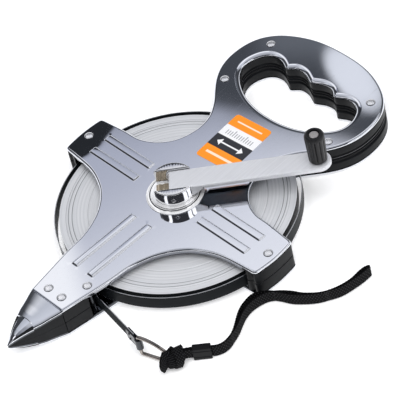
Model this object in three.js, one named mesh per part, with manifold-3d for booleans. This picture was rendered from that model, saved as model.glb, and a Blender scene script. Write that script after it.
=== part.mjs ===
// Open-frame surveyor's tape reel.
// Units are millimetres and +Z is up.  The reel lies on the raised ribs of its
// rear plate (z = 0); the origin is on the reel axle.  +X points to the
// handle, -X to the nose where the tape comes out, and +Y is the left arm.
// "Front" is the upper side, with the crank.
import * as THREE from 'three';
import { mergeVertices } from 'three/addons/utils/BufferGeometryUtils.js';
import Module from 'manifold-3d';

const wasm = await Module();
wasm.setup();

// ---------------------------------------------------------- main dimensions
const Z_REAR = 1.1;            // outer face of the rear plate
const Z_FRONT = 25.2;          // outer face of the front plate
const Z_MID = (Z_REAR + Z_FRONT) / 2;
const BELOW = -2;              // z range of cutters that pass through the whole frame
const ABOVE = 30;
const SHEET = 1.0;             // plate thickness
const FRAME_BORE = 85.6;       // the plastic blocks start outside this radius
const HANDLE_X = 66;           // the handle housing starts here
const NOSE_X = -66;            // and the nose housing ends here

const TAPE_WIDTH = 10;
const TAPE_Z0 = 6.6;
const TAPE_Z1 = TAPE_Z0 + TAPE_WIDTH;

const RIVET_HOLE_R = 1.65;
const RIVETS = {
  rivet_handle_left_inner: [96, 50], rivet_handle_right_inner: [96, -50],
  rivet_handle_left_outer: [140, 48], rivet_handle_right_outer: [140, -48],
  rivet_left_arm: [0.5, 87.6], rivet_right_arm: [0.5, -87.6],
  rivet_nose_left: [-109.7, 6.4], rivet_nose_right: [-109.7, -6.4],
};
const ROLLER = [-92.4, -12.6];

// ------------------------------------------------------------- measured plans
// [x, y] of the stamped plates, from the nose round the left arm to the handle
const HALF_OUTLINE = [
  [-117.5, 15.5], [-97.5, 18.7], [-80, 21.4], [-66, 22.8],
  [-60, 24.2], [-54, 26.2], [-47, 29.3], [-40, 33.8], [-34, 38.9], [-29, 44.6], [-25.5, 50.6],
  [-22, 58.5], [-19.8, 67], [-17.9, 85], [-17.2, 90.4], [-16.3, 92.2], [-14.6, 93.2],
  [-10, 93.95], [0, 94.6], [10, 94], [14.3, 93.3], [16.2, 92.2], [17.2, 90.2], [17.9, 86],
  [19.4, 70], [20, 58], [22.3, 51], [26, 44.6], [32, 38.4], [38, 34.8], [45, 32.6],
  [52, 31.6], [59, 32.2], [65, 34], [71, 37.5], [77, 42], [84, 48.5], [91, 54.5], [97, 58.5],
  [104, 61.8], [112, 63.8], [120, 64.3], [128, 63.6], [135, 61.7], [141, 58.8], [146.5, 54.5],
  [151, 49.5], [154.8, 43.5], [158, 37], [160.8, 29.5], [162.8, 21.5], [164, 12], [164.4, 0],
];
// [x, y] of the hand hole, with the finger scallops on the grip side
const HALF_HOLE = [
  [88.6, 0], [89, 9], [90.4, 17.5], [92.8, 25.5], [96.5, 33.3], [101, 40], [105.5, 44.8],
  [110, 47.7], [115, 49], [120, 48.8], [125, 47.2], [129.5, 44.5], [132.5, 40.5], [133.7, 35.2],
  [133, 30.4], [131, 26], [129.7, 23], [131.5, 20.5], [134, 17], [134.6, 13], [133.8, 8],
  [131.7, 3.4], [130.4, 0],
];
// nose tip: [x, half width, z of the top face]
const TIP = [
  [-117.8, 15.4, 25.2], [-121.5, 14.2, 24.7], [-126, 12.6, 24.1], [-132.7, 10.6, 23.3],
  [-139.4, 7.6, 22.2], [-144, 5.4, 21], [-147.4, 3.8, 19.7], [-150.6, 2.3, 18.1],
  [-153.4, 0.95, 15.8], [-154.8, 0.3, 14.2],
];

// the two closed plan loops, counter-clockwise
const mirrorY = (points) => points.map(([x, y]) => [x, -y]);
const OUTLINE = [...HALF_OUTLINE.toReversed(), ...mirrorY(HALF_OUTLINE.slice(0, -1))];
const HOLE = [...HALF_HOLE.toReversed(), ...mirrorY(HALF_HOLE.slice(1, -1))];

// ------------------------------------------------------------------- helpers
// weld a three.js geometry into a manifold solid, faces outwards
const solid = (geometry) => {
  geometry.deleteAttribute('normal');
  geometry.deleteAttribute('uv');
  const welded = mergeVertices(geometry, 1e-4);
  const positions = welded.attributes.position.array;
  const indices = welded.index.array;
  const triangles = [];
  for (let i = 0; i < indices.length; i += 3) {
    const [a, b, c] = [indices[i], indices[i + 1], indices[i + 2]];
    if (a !== b && b !== c && a !== c) triangles.push(a, b, c);
  }
  let signedVolume = 0;
  const corners = [new THREE.Vector3(), new THREE.Vector3(), new THREE.Vector3()];
  for (let i = 0; i < triangles.length; i += 3) {
    corners.forEach((corner, k) => corner.fromArray(positions, triangles[i + k] * 3));
    signedVolume += corners[0].dot(corners[1].cross(corners[2]));
  }
  if (signedVolume < 0) {
    for (let i = 0; i < triangles.length; i += 3) {
      [triangles[i], triangles[i + 1]] = [triangles[i + 1], triangles[i]];
    }
  }
  return new wasm.Manifold(new wasm.Mesh({
    numProp: 3,
    vertProperties: new Float32Array(positions),
    triVerts: new Uint32Array(triangles),
  }));
};
const vectors = (points) => points.map(([x, y]) => new THREE.Vector2(x, y));
const extrude = (points, options) => new THREE.ExtrudeGeometry(
  new THREE.Shape(vectors(points)), { steps: 1, bevelEnabled: false, ...options });

// upright solids
const prism = (plan, z0, z1) => solid(extrude(plan, { depth: z1 - z0 }).translate(0, 0, z0));
const box = (x0, x1, y0, y1, z0, z1) => solid(new THREE.BoxGeometry(x1 - x0, y1 - y0, z1 - z0)
  .translate((x0 + x1) / 2, (y0 + y1) / 2, (z0 + z1) / 2));
const disc = (r, z0, z1, segments, [x, y] = [0, 0]) => solid(
  new THREE.CylinderGeometry(r, r, z1 - z0, segments)
    .rotateX(Math.PI / 2).translate(x, y, (z0 + z1) / 2));
const lathe = (profile, segments, [x, y] = [0, 0]) => solid(       // profile is [radius, z]
  new THREE.LatheGeometry(vectors(profile), segments).rotateX(Math.PI / 2).translate(x, y, 0));
const ring = (r0, r1, z0, z1, segments, at) =>
  lathe([[r0, z0], [r1, z0], [r1, z1], [r0, z1], [r0, z0]], segments, at);

// the same, through the full height of the frame
const throughPrism = (plan) => prism(plan, BELOW, ABOVE);
const throughBox = (x0, x1, y0, y1) => box(x0, x1, y0, y1, BELOW, ABOVE);
const throughDisc = (r, segments, at) => disc(r, BELOW, ABOVE, segments, at);

// solids lying down: an [x, z] profile extruded from yTop towards -Y, and rods
const sidePrism = (profile, depth, yTop, z = 0) =>
  solid(extrude(profile, { depth }).rotateX(Math.PI / 2).translate(0, yTop, z));
const rodY = (r, length, z, segments) =>
  solid(new THREE.CylinderGeometry(r, r, length, segments).translate(0, 0, z));
const rodX = (rLow, rHigh, length, x, z) => solid(new THREE.CylinderGeometry(rLow, rHigh, length, 10)
  .rotateZ(Math.PI / 2).translate(x, 0, z));

const cut = (body, ...cutters) => cutters.reduce((rest, cutter) => rest.subtract(cutter), body);
const join = (...solids) => solids.reduce((sum, next) => sum.add(next));
const toRight = (m) => m.mirror([0, 1, 0]);
// mirror front to rear through the middle of the frame
const toRear = (m) => m.mirror([0, 0, 1]).translate([0, 0, 2 * Z_MID]);

const leftNormal = (from, to) => {
  const [dx, dy] = [to[0] - from[0], to[1] - from[1]];
  const length = Math.hypot(dx, dy);
  return [-dy / length, dx / length];
};
// a positive inset shrinks a counter-clockwise loop
const offset = (loop, inset) => loop.map((point, i) => {
  const before = leftNormal(loop.at(i - 1), point);
  const after = leftNormal(point, loop[(i + 1) % loop.length]);
  const reach = inset / Math.max(0.5, 1 + before[0] * after[0] + before[1] * after[1]);
  return [point[0] + (before[0] + after[0]) * reach, point[1] + (before[1] + after[1]) * reach];
});
// plan of a band along [x, y, thickness] stations
const ribbon = (stations) => {
  const left = [], right = [];
  stations.forEach(([x, y, thickness], i) => {
    const next = stations[Math.min(stations.length - 1, i + 1)];
    const [nx, ny] = leftNormal(stations[Math.max(0, i - 1)], next);
    left.push([x + nx * thickness / 2, y + ny * thickness / 2]);
    right.push([x - nx * thickness / 2, y - ny * thickness / 2]);
  });
  return [...left, ...right.reverse()];
};
// slab with the frame's plan, drawn in from the outline and the hand hole
const frameLayer = (inset, z0, z1) =>
  cut(prism(offset(OUTLINE, inset), z0, z1), throughPrism(offset(HOLE, -inset)));

// ----------------------------------------------------------- tape leader line
// The leader runs straight out of the nose window.  Stations are distances
// along LEAD_DIR from LEAD_POINT; the side offset is to the left of it.
const LEAD_POINT = [-90.5, -17.6];
const LEAD_DIR = [-0.1597, -0.9872];
const LEAD_START = -33;        // inside the nose
const LEAD_END = 43.5;
const RING_STATION = 48.2;     // axis of the end ring's straight leg
const BLADE_T = 0.6;

const along = (station, side = 0) => [
  LEAD_POINT[0] + LEAD_DIR[0] * station - LEAD_DIR[1] * side,
  LEAD_POINT[1] + LEAD_DIR[1] * station + LEAD_DIR[0] * side,
];
const leadBand = (start, end, half, z0, z1) =>
  prism([along(start, -half), along(end, -half), along(end, half), along(start, half)], z0, z1);
const leadX = (y) => LEAD_POINT[0] + (y - LEAD_POINT[1]) * LEAD_DIR[0] / LEAD_DIR[1];

// ------------------------------------------------------------ plastic housings
const RIM_DEPTH = 1.8;         // folded plate rim over the plastic
const HALF_JOINT_GAP = 0.15;   // each half stops this far from Z_MID
const GROOVE_TOP = 17;         // top of the groove round the middle of the frame
const TIER_OVERLAP = 0.01;
const WINDOW_X = -97.8;        // corner of the nose window, on the right side
const WINDOW_Y = -8;
const NOSE_STEP_X = -84.2;     // the nose walls stop here, short of NOSE_X

const rivetHoles = join(...Object.values(RIVETS).map((at) => throughDisc(RIVET_HOLE_R, 12, at)));
const handleZone = throughBox(HANDLE_X, 170, -70, 70);

// three tiers: groove, shoulder, and the step the plate rim drops over
const frontHalf = cut(
  join(
    frameLayer(1.2, Z_MID + HALF_JOINT_GAP, GROOVE_TOP),
    frameLayer(0.15, GROOVE_TOP - TIER_OVERLAP, Z_FRONT - RIM_DEPTH - 0.3),
    frameLayer(1.35, 23, Z_FRONT - SHEET),
  ),
  throughDisc(FRAME_BORE, 72),
  rivetHoles,
);

// handle half, hollow towards the joint, with posts round the rivets
const HANDLE_WALL = 4.2;
const HANDLE_POST_R = 4.6;
const handleRivets = Object.values(RIVETS).filter(([x]) => x > HANDLE_X);
const onScallopRidge = ([x, y]) => x > 129 && x < 132 && Math.abs(y) < 28;
const handlePocket = cut(
  prism(offset(OUTLINE.filter(([x]) => x > 60), HANDLE_WALL), 12, 21),
  throughPrism(offset(HOLE.filter((point) => !onScallopRidge(point)), -HANDLE_WALL)),
  throughDisc(FRAME_BORE + 3.2, 36),
  join(...handleRivets.map((at) => throughDisc(HANDLE_POST_R, 12, at))),
).intersect(throughBox(84, 170, -70, 70));
const handleHalf = cut(frontHalf.intersect(handleZone), handlePocket);

// arm end block half, with a rounded recess in each flank
const leftArmHalf = cut(
  frontHalf.intersect(throughBox(-18, 18, 80, 96)),
  ...[-18.2, 18.2].map((x) => disc(2.1, 0, 22, 10, [x, 88.4])),
);

// nose half: blade passage with the side window, and the step on the left
const PASSAGE_MARGIN = 1.6;    // passage wall beyond the leader line
const bladePassage = throughPrism([
  [leadX(16) - PASSAGE_MARGIN, 16], [leadX(WINDOW_Y) - PASSAGE_MARGIN, WINDOW_Y],
  [WINDOW_X, WINDOW_Y], [WINDOW_X, -30], [-60, -30], [-60, 16],
]);
const noseHalf = cut(
  frontHalf.intersect(throughBox(-117.45, NOSE_X, -30, 30)),
  bladePassage,
  throughBox(NOSE_STEP_X, -60, 15, 30),
);

// ------------------------------------------------------------- stamped plates
const LIP_DEPTH = 3.4;         // folded lip clear of the plastic
const RIB_RISE = 1.1;
const RIB_SLOPE = 1;           // width of a rib's sloping side
const PLASTIC_CLEARANCE = 0.3;
// [x0, x1, y0, y1] of the ribs on the left half; the right half mirrors them
const RIBS = [[-85.9, -30.9, 4.6, 10.4], [3.85, 10.1, 30.3, 75.9], [-10.1, -3.85, 30.3, 75.9]];

const rib = ([x0, x1, y0, y1]) => {
  const depth = 0.6;
  const [left, right, low, high] = [x0 + RIB_SLOPE, x1 - RIB_SLOPE, y0 + RIB_SLOPE, y1 - RIB_SLOPE];
  const bevelled = extrude([[left, low], [right, low], [right, high], [left, high]], {
    depth,
    bevelEnabled: true,
    bevelThickness: RIB_RISE,
    bevelSize: RIB_SLOPE,
    bevelSegments: 1,
    curveSegments: 2,
  }).translate(0, 0, Z_FRONT - depth);
  return solid(bevelled)
    .intersect(box(x0 - 2, x1 + 2, y0 - 2, y1 + 2, Z_FRONT - 0.5, Z_FRONT + RIB_RISE));
};
const ribs = RIBS.map(rib);

// shortens the lip to the rim depth where the plate sits on plastic
const lipRelief = cut(
  prism(offset(OUTLINE, -2), 20, Z_FRONT - RIM_DEPTH),
  throughDisc(FRAME_BORE - PLASTIC_CLEARANCE, 72),
).intersect(join(
  handleZone,
  throughBox(-30, 30, 80, 99),
  throughBox(-30, 30, -99, -80),
  cut(
    throughBox(-120, NOSE_X, -30, 30),
    throughBox(WINDOW_X + PLASTIC_CLEARANCE, -60, -40, WINDOW_Y),
    throughBox(NOSE_STEP_X + PLASTIC_CLEARANCE, -60, -40, 40),
  ),
));
const plate = cut(
  join(frameLayer(0, Z_FRONT - LIP_DEPTH, Z_FRONT), ...ribs, ...ribs.map(toRight)),
  frameLayer(SHEET, 20, Z_FRONT - SHEET),
  lipRelief,
  rivetHoles,
  throughDisc(RIVET_HOLE_R, 12, ROLLER),
  throughDisc(8.3, 24),
);

// ------------------------------------------------------------------- nose tip
// ogive plan with a falling top face: chromed caps on a plastic core
const TIP_ROOT_X = TIP[0][0];
const tipPlan = [...TIP.toReversed(), ...mirrorY(TIP)];            // clockwise
const tipSide = (drop) => {    // side view, lowered by drop on each face
  const half = TIP.map(([x, , z]) => [x, Math.max(z - drop - Z_MID, 0.02 * (156 + x) + 0.1)]);
  const top = half.map(([x, height]) => [x, Z_MID + height]);
  const bottom = half.map(([x, height]) => [x, Z_MID - height]);
  return sidePrism([...top, ...bottom.reverse()], 40, 20);
};
// the plan is clockwise, so this offset makes the core slightly wider than the caps
const tipCore = throughPrism(offset(tipPlan, 0.25))
  .intersect(throughBox(-153.2, TIP_ROOT_X, -20, 20))
  .intersect(tipSide(1.6));
const tipCap = cut(
  throughPrism(tipPlan).intersect(tipSide(0))
    .intersect(box(-160, TIP_ROOT_X, -20, 20, Z_MID + 0.1, ABOVE)),
  tipSide(1.3),
);

// ------------------------------------------------------ reel, axle and bushes
const DRUM_R = 25;
const COIL_R = 80.7;           // wound coil
const WRAP_R = 84.2;           // loose last turn
const AXLE_R = 4;
const BUSH_BORE = 4.35;
const BUSH_R = 7.9;
const ROLL_PIN_Z = 17.5;
const ANCHOR_Z = 14.6;         // tape anchor rivet, in the drum rim on the +X side

const frontBush = lathe([
  [BUSH_BORE, 21.5], [BUSH_R, 21.5], [BUSH_R, Z_FRONT], [19.8, Z_FRONT], [19.8, 25.6],
  [17.2, 26.45], [BUSH_BORE, 26.45], [BUSH_BORE, 21.5],
], 32);
const rearBush = lathe([
  [0, 0], [16, 0], [16, Z_REAR], [BUSH_R, Z_REAR], [BUSH_R, 5.1],
  [BUSH_BORE, 5.1], [BUSH_BORE, 0.6], [0, 0.6],
], 24);
const rollPinHole = rodY(1.5, 30, ROLL_PIN_Z, 10);
const rollPin = rodY(1.2, 23, ROLL_PIN_Z, 10);
const drum = cut(
  lathe([
    [4.3, 5.6], [12, 5.6], [12, 9.6], [22, 9.6], [22, TAPE_Z0], [DRUM_R, TAPE_Z0],
    [DRUM_R, TAPE_Z1], [22, TAPE_Z1], [22, 12.4], [12, 12.4], [12, 20.9], [4.3, 20.9], [4.3, 5.6],
  ], 24),
  rodX(1.3, 1.3, 8, 24, ANCHOR_Z),
  rollPinHole,
);
const axle = cut(
  lathe([
    [0, 0.9], [AXLE_R - 0.4, 0.9], [AXLE_R, 1.3],
    [AXLE_R, 26.9], [AXLE_R - 0.4, 27.3], [0, 27.3],
  ], 24),
  rollPinHole,
);
const anchorRivet = join(
  rodX(1.0, 1.0, 5.2, 22.4, ANCHOR_Z),
  rodX(1.4, 2.0, 1.2, 20.9, ANCHOR_Z),
).intersect(box(19, DRUM_R - 0.1, -4, 4, 5, 19));

// ------------------------------------------------- crank head, crank and knob
// all drawn with the crank along +X, then turned to CRANK_HEADING
const CRANK_HEADING = -42.2 * Math.PI / 180;
const HUB_R = 15;
const HUB_TOP = Z_FRONT + 14;
const SLOT_W = 17.5;
const SLOT_FLOOR = Z_FRONT + 2.2;
const PIN_Z = Z_FRONT + 8.3;   // crank hinge pin
const CRANK_W = 16.9;
const CRANK_LEN = 98;          // hub axis to knob axis
const CRANK_TOP = Z_FRONT + 12.8;
const CRANK_FLANGE = 3.4;      // depth of the folded sides
const CRANK_T = 1.2;
const CRANK_ROOT_X = -2.4;
const EAR_R = 4.4;
const KNOB_R_BOTTOM = 6.3;
const KNOB_R_TOP = 6.9;
const KNOB_AXIS = [CRANK_LEN, 0];

const hingeHole = rodY(1.8, 40, PIN_Z, 16);
const hingePin = rodY(1.5, 29.2, PIN_Z, 16);
const crankHead = cut(
  lathe([
    [0, 26.7], [16.4, 26.7], [16.4, 27.5], [HUB_R, 28.0],
    [HUB_R, HUB_TOP - 0.8], [HUB_R - 0.8, HUB_TOP], [0, HUB_TOP],
  ], 40),
  box(-20, 20, -SLOT_W / 2, SLOT_W / 2, SLOT_FLOOR, HUB_TOP + 2),
  disc(4.3, 20, 30, 24),
  hingeHole,
);

// leaf spring, slightly bowed, on the slot floor
const LEAF_T = 0.3;
const LEAF_CURVE = [          // [x, z] of the lower face
  [-12, 0], [-8, 0.22], [-4, 0.36], [0, 0.4], [4, 0.36], [8, 0.22], [12, 0],
];
const leafTop = LEAF_CURVE.map(([x, z]) => [x, z + LEAF_T]);
const leaf = sidePrism([...LEAF_CURVE, ...leafTop.reverse()], 14, 7, SLOT_FLOOR + 0.05);

// crank arm: a channel open downwards, round at the knob, with two hinge ears
const armPlan = (inset, rootX) => {
  const r = CRANK_W / 2 - inset;
  const arc = Array.from({ length: 13 }, (_, i) => {
    const angle = -Math.PI / 2 + Math.PI * i / 12;
    return [CRANK_LEN + r * Math.cos(angle), r * Math.sin(angle)];
  });
  return [[rootX, -r], ...arc, [rootX, r]];
};
const earArc = Array.from({ length: 9 }, (_, i) => {
  const angle = Math.PI * (0.72 + (1.5 - 0.72) * i / 8);
  return [EAR_R * Math.cos(angle), EAR_R * Math.sin(angle)];
});
const EAR_TOP = CRANK_TOP - PIN_Z;
const earProfile = [           // [x, z] from the hinge pin
  [CRANK_ROOT_X, EAR_TOP], ...earArc, [13, -4.0], [20, EAR_TOP - CRANK_FLANGE], [20, EAR_TOP],
];
const ear = (yTop) => sidePrism(earProfile, CRANK_T, yTop, PIN_Z);
const crank = cut(
  join(
    cut(
      prism(armPlan(0, CRANK_ROOT_X), CRANK_TOP - CRANK_FLANGE, CRANK_TOP),
      prism(armPlan(CRANK_T, -9), CRANK_TOP - CRANK_FLANGE - 1, CRANK_TOP - CRANK_T),
    ),
    ear(CRANK_W / 2),
    ear(-CRANK_W / 2 + CRANK_T),
  ),
  hingeHole,
  disc(2.0, 30, 45, 16, KNOB_AXIS),
);
const knobPin = lathe([
  [0, 35.2], [3.1, 35.2], [3.1, 36.0], [2.3, 36.65], [1.6, 36.65], [1.6, 61.0],
  [3.25, 61.0], [3.25, 61.7], [2.9, 61.95], [0, 61.95],
], 16, KNOB_AXIS);
const knobWasher = ring(2.0, 5.0, 38.15, 38.65, 20, KNOB_AXIS);
const knob = lathe([
  [2.1, 38.8], [KNOB_R_BOTTOM - 0.5, 38.8], [KNOB_R_BOTTOM, 39.4], [KNOB_R_TOP, 60.2],
  [6.3, 61.9], [5.2, 62.6], [3.9, 62.6], [3.9, 60.7], [2.1, 60.7], [2.1, 38.8],
], 24, KNOB_AXIS);

// ------------------------------------------------- leader, end clip, end ring
const WIRE_R = 1.15;
const WIRE_HOLE_R = WIRE_R + 0.35;
const CLIP_Z0 = TAPE_Z0 + 0.5;
const CLIP_Z1 = TAPE_Z1 - 0.6;
const RING_DIR = [0.306, -0.952];   // plan direction of the ring, away from the blade
// [distance along RING_DIR from the straight leg, z], top to foot
const RING_ARC = [
  [0, 17.75], [5, 17.5], [10, 16.3], [15, 14], [19.5, 10.6],
  [22.8, 6.2], [22.9, 3.2], [20.5, 1.6], [16, 1.5], [0, 1.5],
];
const ringAxis = along(RING_STATION);

const leader = leadBand(LEAD_START, LEAD_END, BLADE_T / 2, TAPE_Z0, TAPE_Z1);
const endClip = cut(
  join(
    leadBand(LEAD_END - 8, RING_STATION, 1.35, CLIP_Z0, CLIP_Z1),
    disc(2.5, CLIP_Z0, CLIP_Z1, 18, ringAxis),
  ),
  leadBand(LEAD_START, LEAD_END + 0.4, BLADE_T / 2 + 0.3, BELOW, ABOVE),
  throughDisc(WIRE_HOLE_R, 16, ringAxis),
);
// the bent part of the ring, a swept tube
const bow = (r) => {
  const section = Array.from({ length: 8 }, (_, i) =>
    [r * Math.cos(2 * Math.PI * i / 8), r * Math.sin(2 * Math.PI * i / 8)]);
  const points = RING_ARC.map(([reach, z]) => new THREE.Vector3(
    ringAxis[0] + RING_DIR[0] * reach, ringAxis[1] + RING_DIR[1] * reach, z));
  const extrudePath = new THREE.CatmullRomCurve3(points, false, 'centripetal');
  return solid(extrude(section, { extrudePath, steps: 22 }));
};
// bow, straight leg, and a ball at each corner between them
const ringLegEnds = [RING_ARC.at(-1)[1], RING_ARC[0][1]];
const endRing = join(
  bow(WIRE_R),
  disc(WIRE_R, ...ringLegEnds, 8, ringAxis),
  ...ringLegEnds.map((z) =>
    solid(new THREE.SphereGeometry(WIRE_R * 1.02, 8, 5).translate(...ringAxis, z))),
);

// ----------------------------------------------------------------- wrist strap
const STRAP_W = 10;
const STRAP_Z0 = 0.3;
// [x, y, thickness over both strands] of the centre line, from the crimp
const STRAP_LINE = [
  [-69.6, -103.0, 2.8], [-66.6, -105.3, 2.8], [-62, -106.7, 2.8], [-56, -106.2, 2.8],
  [-49.6, -103.7, 2.9], [-42.5, -100, 3.4], [-36, -96.9, 4.1], [-29.4, -95.3, 4.5],
  [-22.8, -95.9, 4.4], [-16.9, -98.4, 3.9], [-12.2, -103.3, 3.2], [-7.4, -110.3, 2.8],
  [-3.4, -117.4, 2.8], [0.6, -122.5, 2.8], [5, -126.9, 2.8], [10.5, -130.7, 2.8],
  [17, -133.6, 2.8], [23, -135.1, 2.9], [29, -135.7, 3.4], [34, -135.8, 4],
  [38.5, -136, 4], [41, -136.2, 3.2], [42.2, -136.3, 1.8],
];
const strap = prism(ribbon(STRAP_LINE), STRAP_Z0, STRAP_Z0 + STRAP_W);
const crimp = box(-6.1, 6.1, -2.5, 2.5, 0.25, 10.85)
  .rotate([0, 0, -43.8]).translate([-74.6, -98.2, 0]);
// hitch: an egg-shaped knot round the ring, with a tail to the crimp
const knot = solid(new THREE.SphereGeometry(1, 12, 8)
  .scale(9.4, 6.9, 7.2).rotateZ(-0.35).translate(-91, -88.6, 7.2));
const hitchTail = prism(ribbon([[-88, -88.6, 3.4], [-79.6, -93.4, 3]]), 1, 10.4);
const hitch = cut(
  join(knot, hitchTail).intersect(box(-110, -60, -110, -60, 0.35, 20)),
  bow(WIRE_HOLE_R),
);

// ----------------------------------------------------- rivets, roller, label
const RIVET_SHANK = 1.3;
const ROLLER_PIN_SHANK = 0.95;
const RIVET_HEAD = 3.0;

const throughRivet = (shank, at) => lathe([
  [0, 0], [2.2, 0], [RIVET_HEAD, 0.7], [RIVET_HEAD, 1.05], [shank, 1.05],
  [shank, 25.25], [RIVET_HEAD, 25.25], [2.3, 26.3], [0, 26.8],
], 12, at);
const roller = ring(1.3, 2.1, 2.6, 23.7, 16, ROLLER);

// rounded rectangle on the front plate, slightly turned
const label = (() => {
  const tilt = 4 * Math.PI / 180;
  const [centreX, centreY] = [56.6, 0.9];
  const [halfLength, halfWidth, cornerR] = [22, 15.8, 2.4];
  const plan = [];
  for (const [signX, signY, startDeg] of [[1, -1, -90], [1, 1, 0], [-1, 1, 90], [-1, -1, 180]]) {
    for (let i = 0; i <= 3; i++) {
      const angle = (startDeg + 30 * i) * Math.PI / 180;
      const x = signX * (halfLength - cornerR) + cornerR * Math.cos(angle);
      const y = signY * (halfWidth - cornerR) + cornerR * Math.sin(angle);
      plan.push([
        centreX + x * Math.cos(tilt) - y * Math.sin(tilt),
        centreY + x * Math.sin(tilt) + y * Math.cos(tilt),
      ]);
    }
  }
  return prism(plan, Z_FRONT + 0.03, Z_FRONT + 0.28);
})();

// ------------------------------------------------------------------ materials
const CHROME = { color: 0xbfc6d6, roughness: 0.12, metalness: 1 };
const PLASTIC = { color: 0x26282b, roughness: 0.5, metalness: 0 };
const STEEL = { color: 0xc9ccd0, roughness: 0.35, metalness: 1 };
const COIL_STEEL = { color: 0xc6c9cf, roughness: 0.35, metalness: 1 };
const BLADE = { color: 0x2a2f34, roughness: 0.5, metalness: 0.2 };
const SPRING = { color: 0xa88a5a, roughness: 0.35, metalness: 1 };
const CRANK_METAL = { color: 0xcfcdd2, roughness: 0.4, metalness: 1 };
const KNOB_PIN_METAL = { color: 0xd9d2cc, roughness: 0.3, metalness: 1 };
const RING_WIRE = { color: 0xb9b0a6, roughness: 0.3, metalness: 1 };
const WEBBING = { color: 0x101012, roughness: 0.85, metalness: 0 };
const CRIMP = { color: 0x17181a, roughness: 0.55, metalness: 0 };
const LABEL = { color: 0xf28a1c, roughness: 0.45, metalness: 0 };

// ------------------------------------------------------------------- assembly
const object = new THREE.Group();
const turned = new THREE.Group();          // everything that follows the crank heading
turned.rotation.z = CRANK_HEADING;
object.add(turned);

const add = (group, name, shape, material) => {
  const { vertProperties, triVerts } = shape.getMesh();
  const geometry = new THREE.BufferGeometry();
  geometry.setAttribute('position', new THREE.BufferAttribute(new Float32Array(vertProperties), 3));
  geometry.setIndex(new THREE.BufferAttribute(new Uint32Array(triVerts), 1));
  geometry.computeVertexNormals();
  const mesh = new THREE.Mesh(geometry, new THREE.MeshStandardMaterial(material));
  mesh.name = name;
  group.add(mesh);
};
const addPair = (name, front, material) => {
  add(object, `${name}_front`, front, material);
  add(object, `${name}_rear`, toRear(front), material);
};

add(object, 'front_plate', plate, CHROME);
add(object, 'rear_plate', toRear(plate), CHROME);
addPair('handle_housing', handleHalf, PLASTIC);
addPair('left_arm_block', leftArmHalf, PLASTIC);
addPair('right_arm_block', toRight(leftArmHalf), PLASTIC);
addPair('nose_housing', noseHalf, PLASTIC);
add(object, 'nose_tip_core', tipCore, PLASTIC);
addPair('nose_cap', tipCap, CHROME);
for (const [name, at] of Object.entries(RIVETS)) {
  add(object, name, throughRivet(RIVET_SHANK, at), CHROME);
}
add(object, 'guide_roller_pin', throughRivet(ROLLER_PIN_SHANK, ROLLER), CHROME);
add(object, 'guide_roller', roller, STEEL);
add(object, 'front_bush', frontBush, CHROME);
add(object, 'rear_bush', rearBush, CHROME);
add(object, 'capacity_label', label, LABEL);

add(object, 'drum', drum, PLASTIC);
add(object, 'drum_roll_pin', rollPin, STEEL);
add(object, 'axle', axle, STEEL);
add(object, 'thrust_washer_front', ring(4.4, 9, 21.0, 21.4, 24), STEEL);
add(object, 'thrust_washer_rear', ring(4.4, 9, 5.15, 5.5, 24), STEEL);
add(object, 'tape_anchor_rivet', anchorRivet, STEEL);
add(object, 'tape_coil', ring(DRUM_R + 0.3, COIL_R, TAPE_Z0, TAPE_Z1, 60), COIL_STEEL);
add(object, 'tape_outer_turn', ring(WRAP_R - BLADE_T, WRAP_R, TAPE_Z0, TAPE_Z1, 60), BLADE);

add(turned, 'crank_head', crankHead, CHROME);
add(turned, 'crank_hinge_pin', hingePin, STEEL);
add(turned, 'detent_leaf_spring', leaf, SPRING);
add(turned, 'crank_arm', crank, CRANK_METAL);
add(turned, 'knob_pin', knobPin, KNOB_PIN_METAL);
add(turned, 'knob_washer', knobWasher, STEEL);
add(turned, 'knob', knob, PLASTIC);

add(object, 'tape_leader', leader, BLADE);
add(object, 'tape_end_clip', endClip, STEEL);
add(object, 'end_ring', endRing, RING_WIRE);
add(object, 'strap_hitch', hitch, WEBBING);
add(object, 'strap_crimp', crimp, CRIMP);
add(object, 'wrist_strap', strap, WEBBING);

export default object;
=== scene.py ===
"""Looks of a surveyor's open tape reel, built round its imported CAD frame.

The reel lies flat on the floor with its axle on the z axis. The nose points to -x, the hand
grip is at +x, the left arm reaches to +y and the right arm to -y. The front plate is on top.
Shapes are worked out in millimetres and scaled to metres when their meshes are made; material
and world values are in metres.
"""
import math
from functools import cached_property

import bmesh
import bpy
import numpy as np
from mathutils import Matrix, Vector
from mathutils.geometry import delaunay_2d_cdt

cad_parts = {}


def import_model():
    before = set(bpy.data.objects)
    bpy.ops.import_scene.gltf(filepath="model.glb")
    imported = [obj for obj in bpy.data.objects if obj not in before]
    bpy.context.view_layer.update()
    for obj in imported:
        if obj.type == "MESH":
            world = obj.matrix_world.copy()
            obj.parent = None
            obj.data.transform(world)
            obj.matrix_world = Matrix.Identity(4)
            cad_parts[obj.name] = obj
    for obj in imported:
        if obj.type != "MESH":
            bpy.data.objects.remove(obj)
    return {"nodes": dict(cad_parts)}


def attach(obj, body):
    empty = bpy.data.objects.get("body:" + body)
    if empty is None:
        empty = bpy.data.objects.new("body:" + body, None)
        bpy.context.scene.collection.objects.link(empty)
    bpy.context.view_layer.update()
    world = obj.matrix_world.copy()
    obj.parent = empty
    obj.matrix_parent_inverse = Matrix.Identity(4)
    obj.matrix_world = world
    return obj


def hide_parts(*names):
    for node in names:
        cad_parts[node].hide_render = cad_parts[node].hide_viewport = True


CAD_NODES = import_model()["nodes"]
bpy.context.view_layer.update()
PI = math.pi
MM = 0.001
rng = np.random.default_rng(7)

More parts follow.
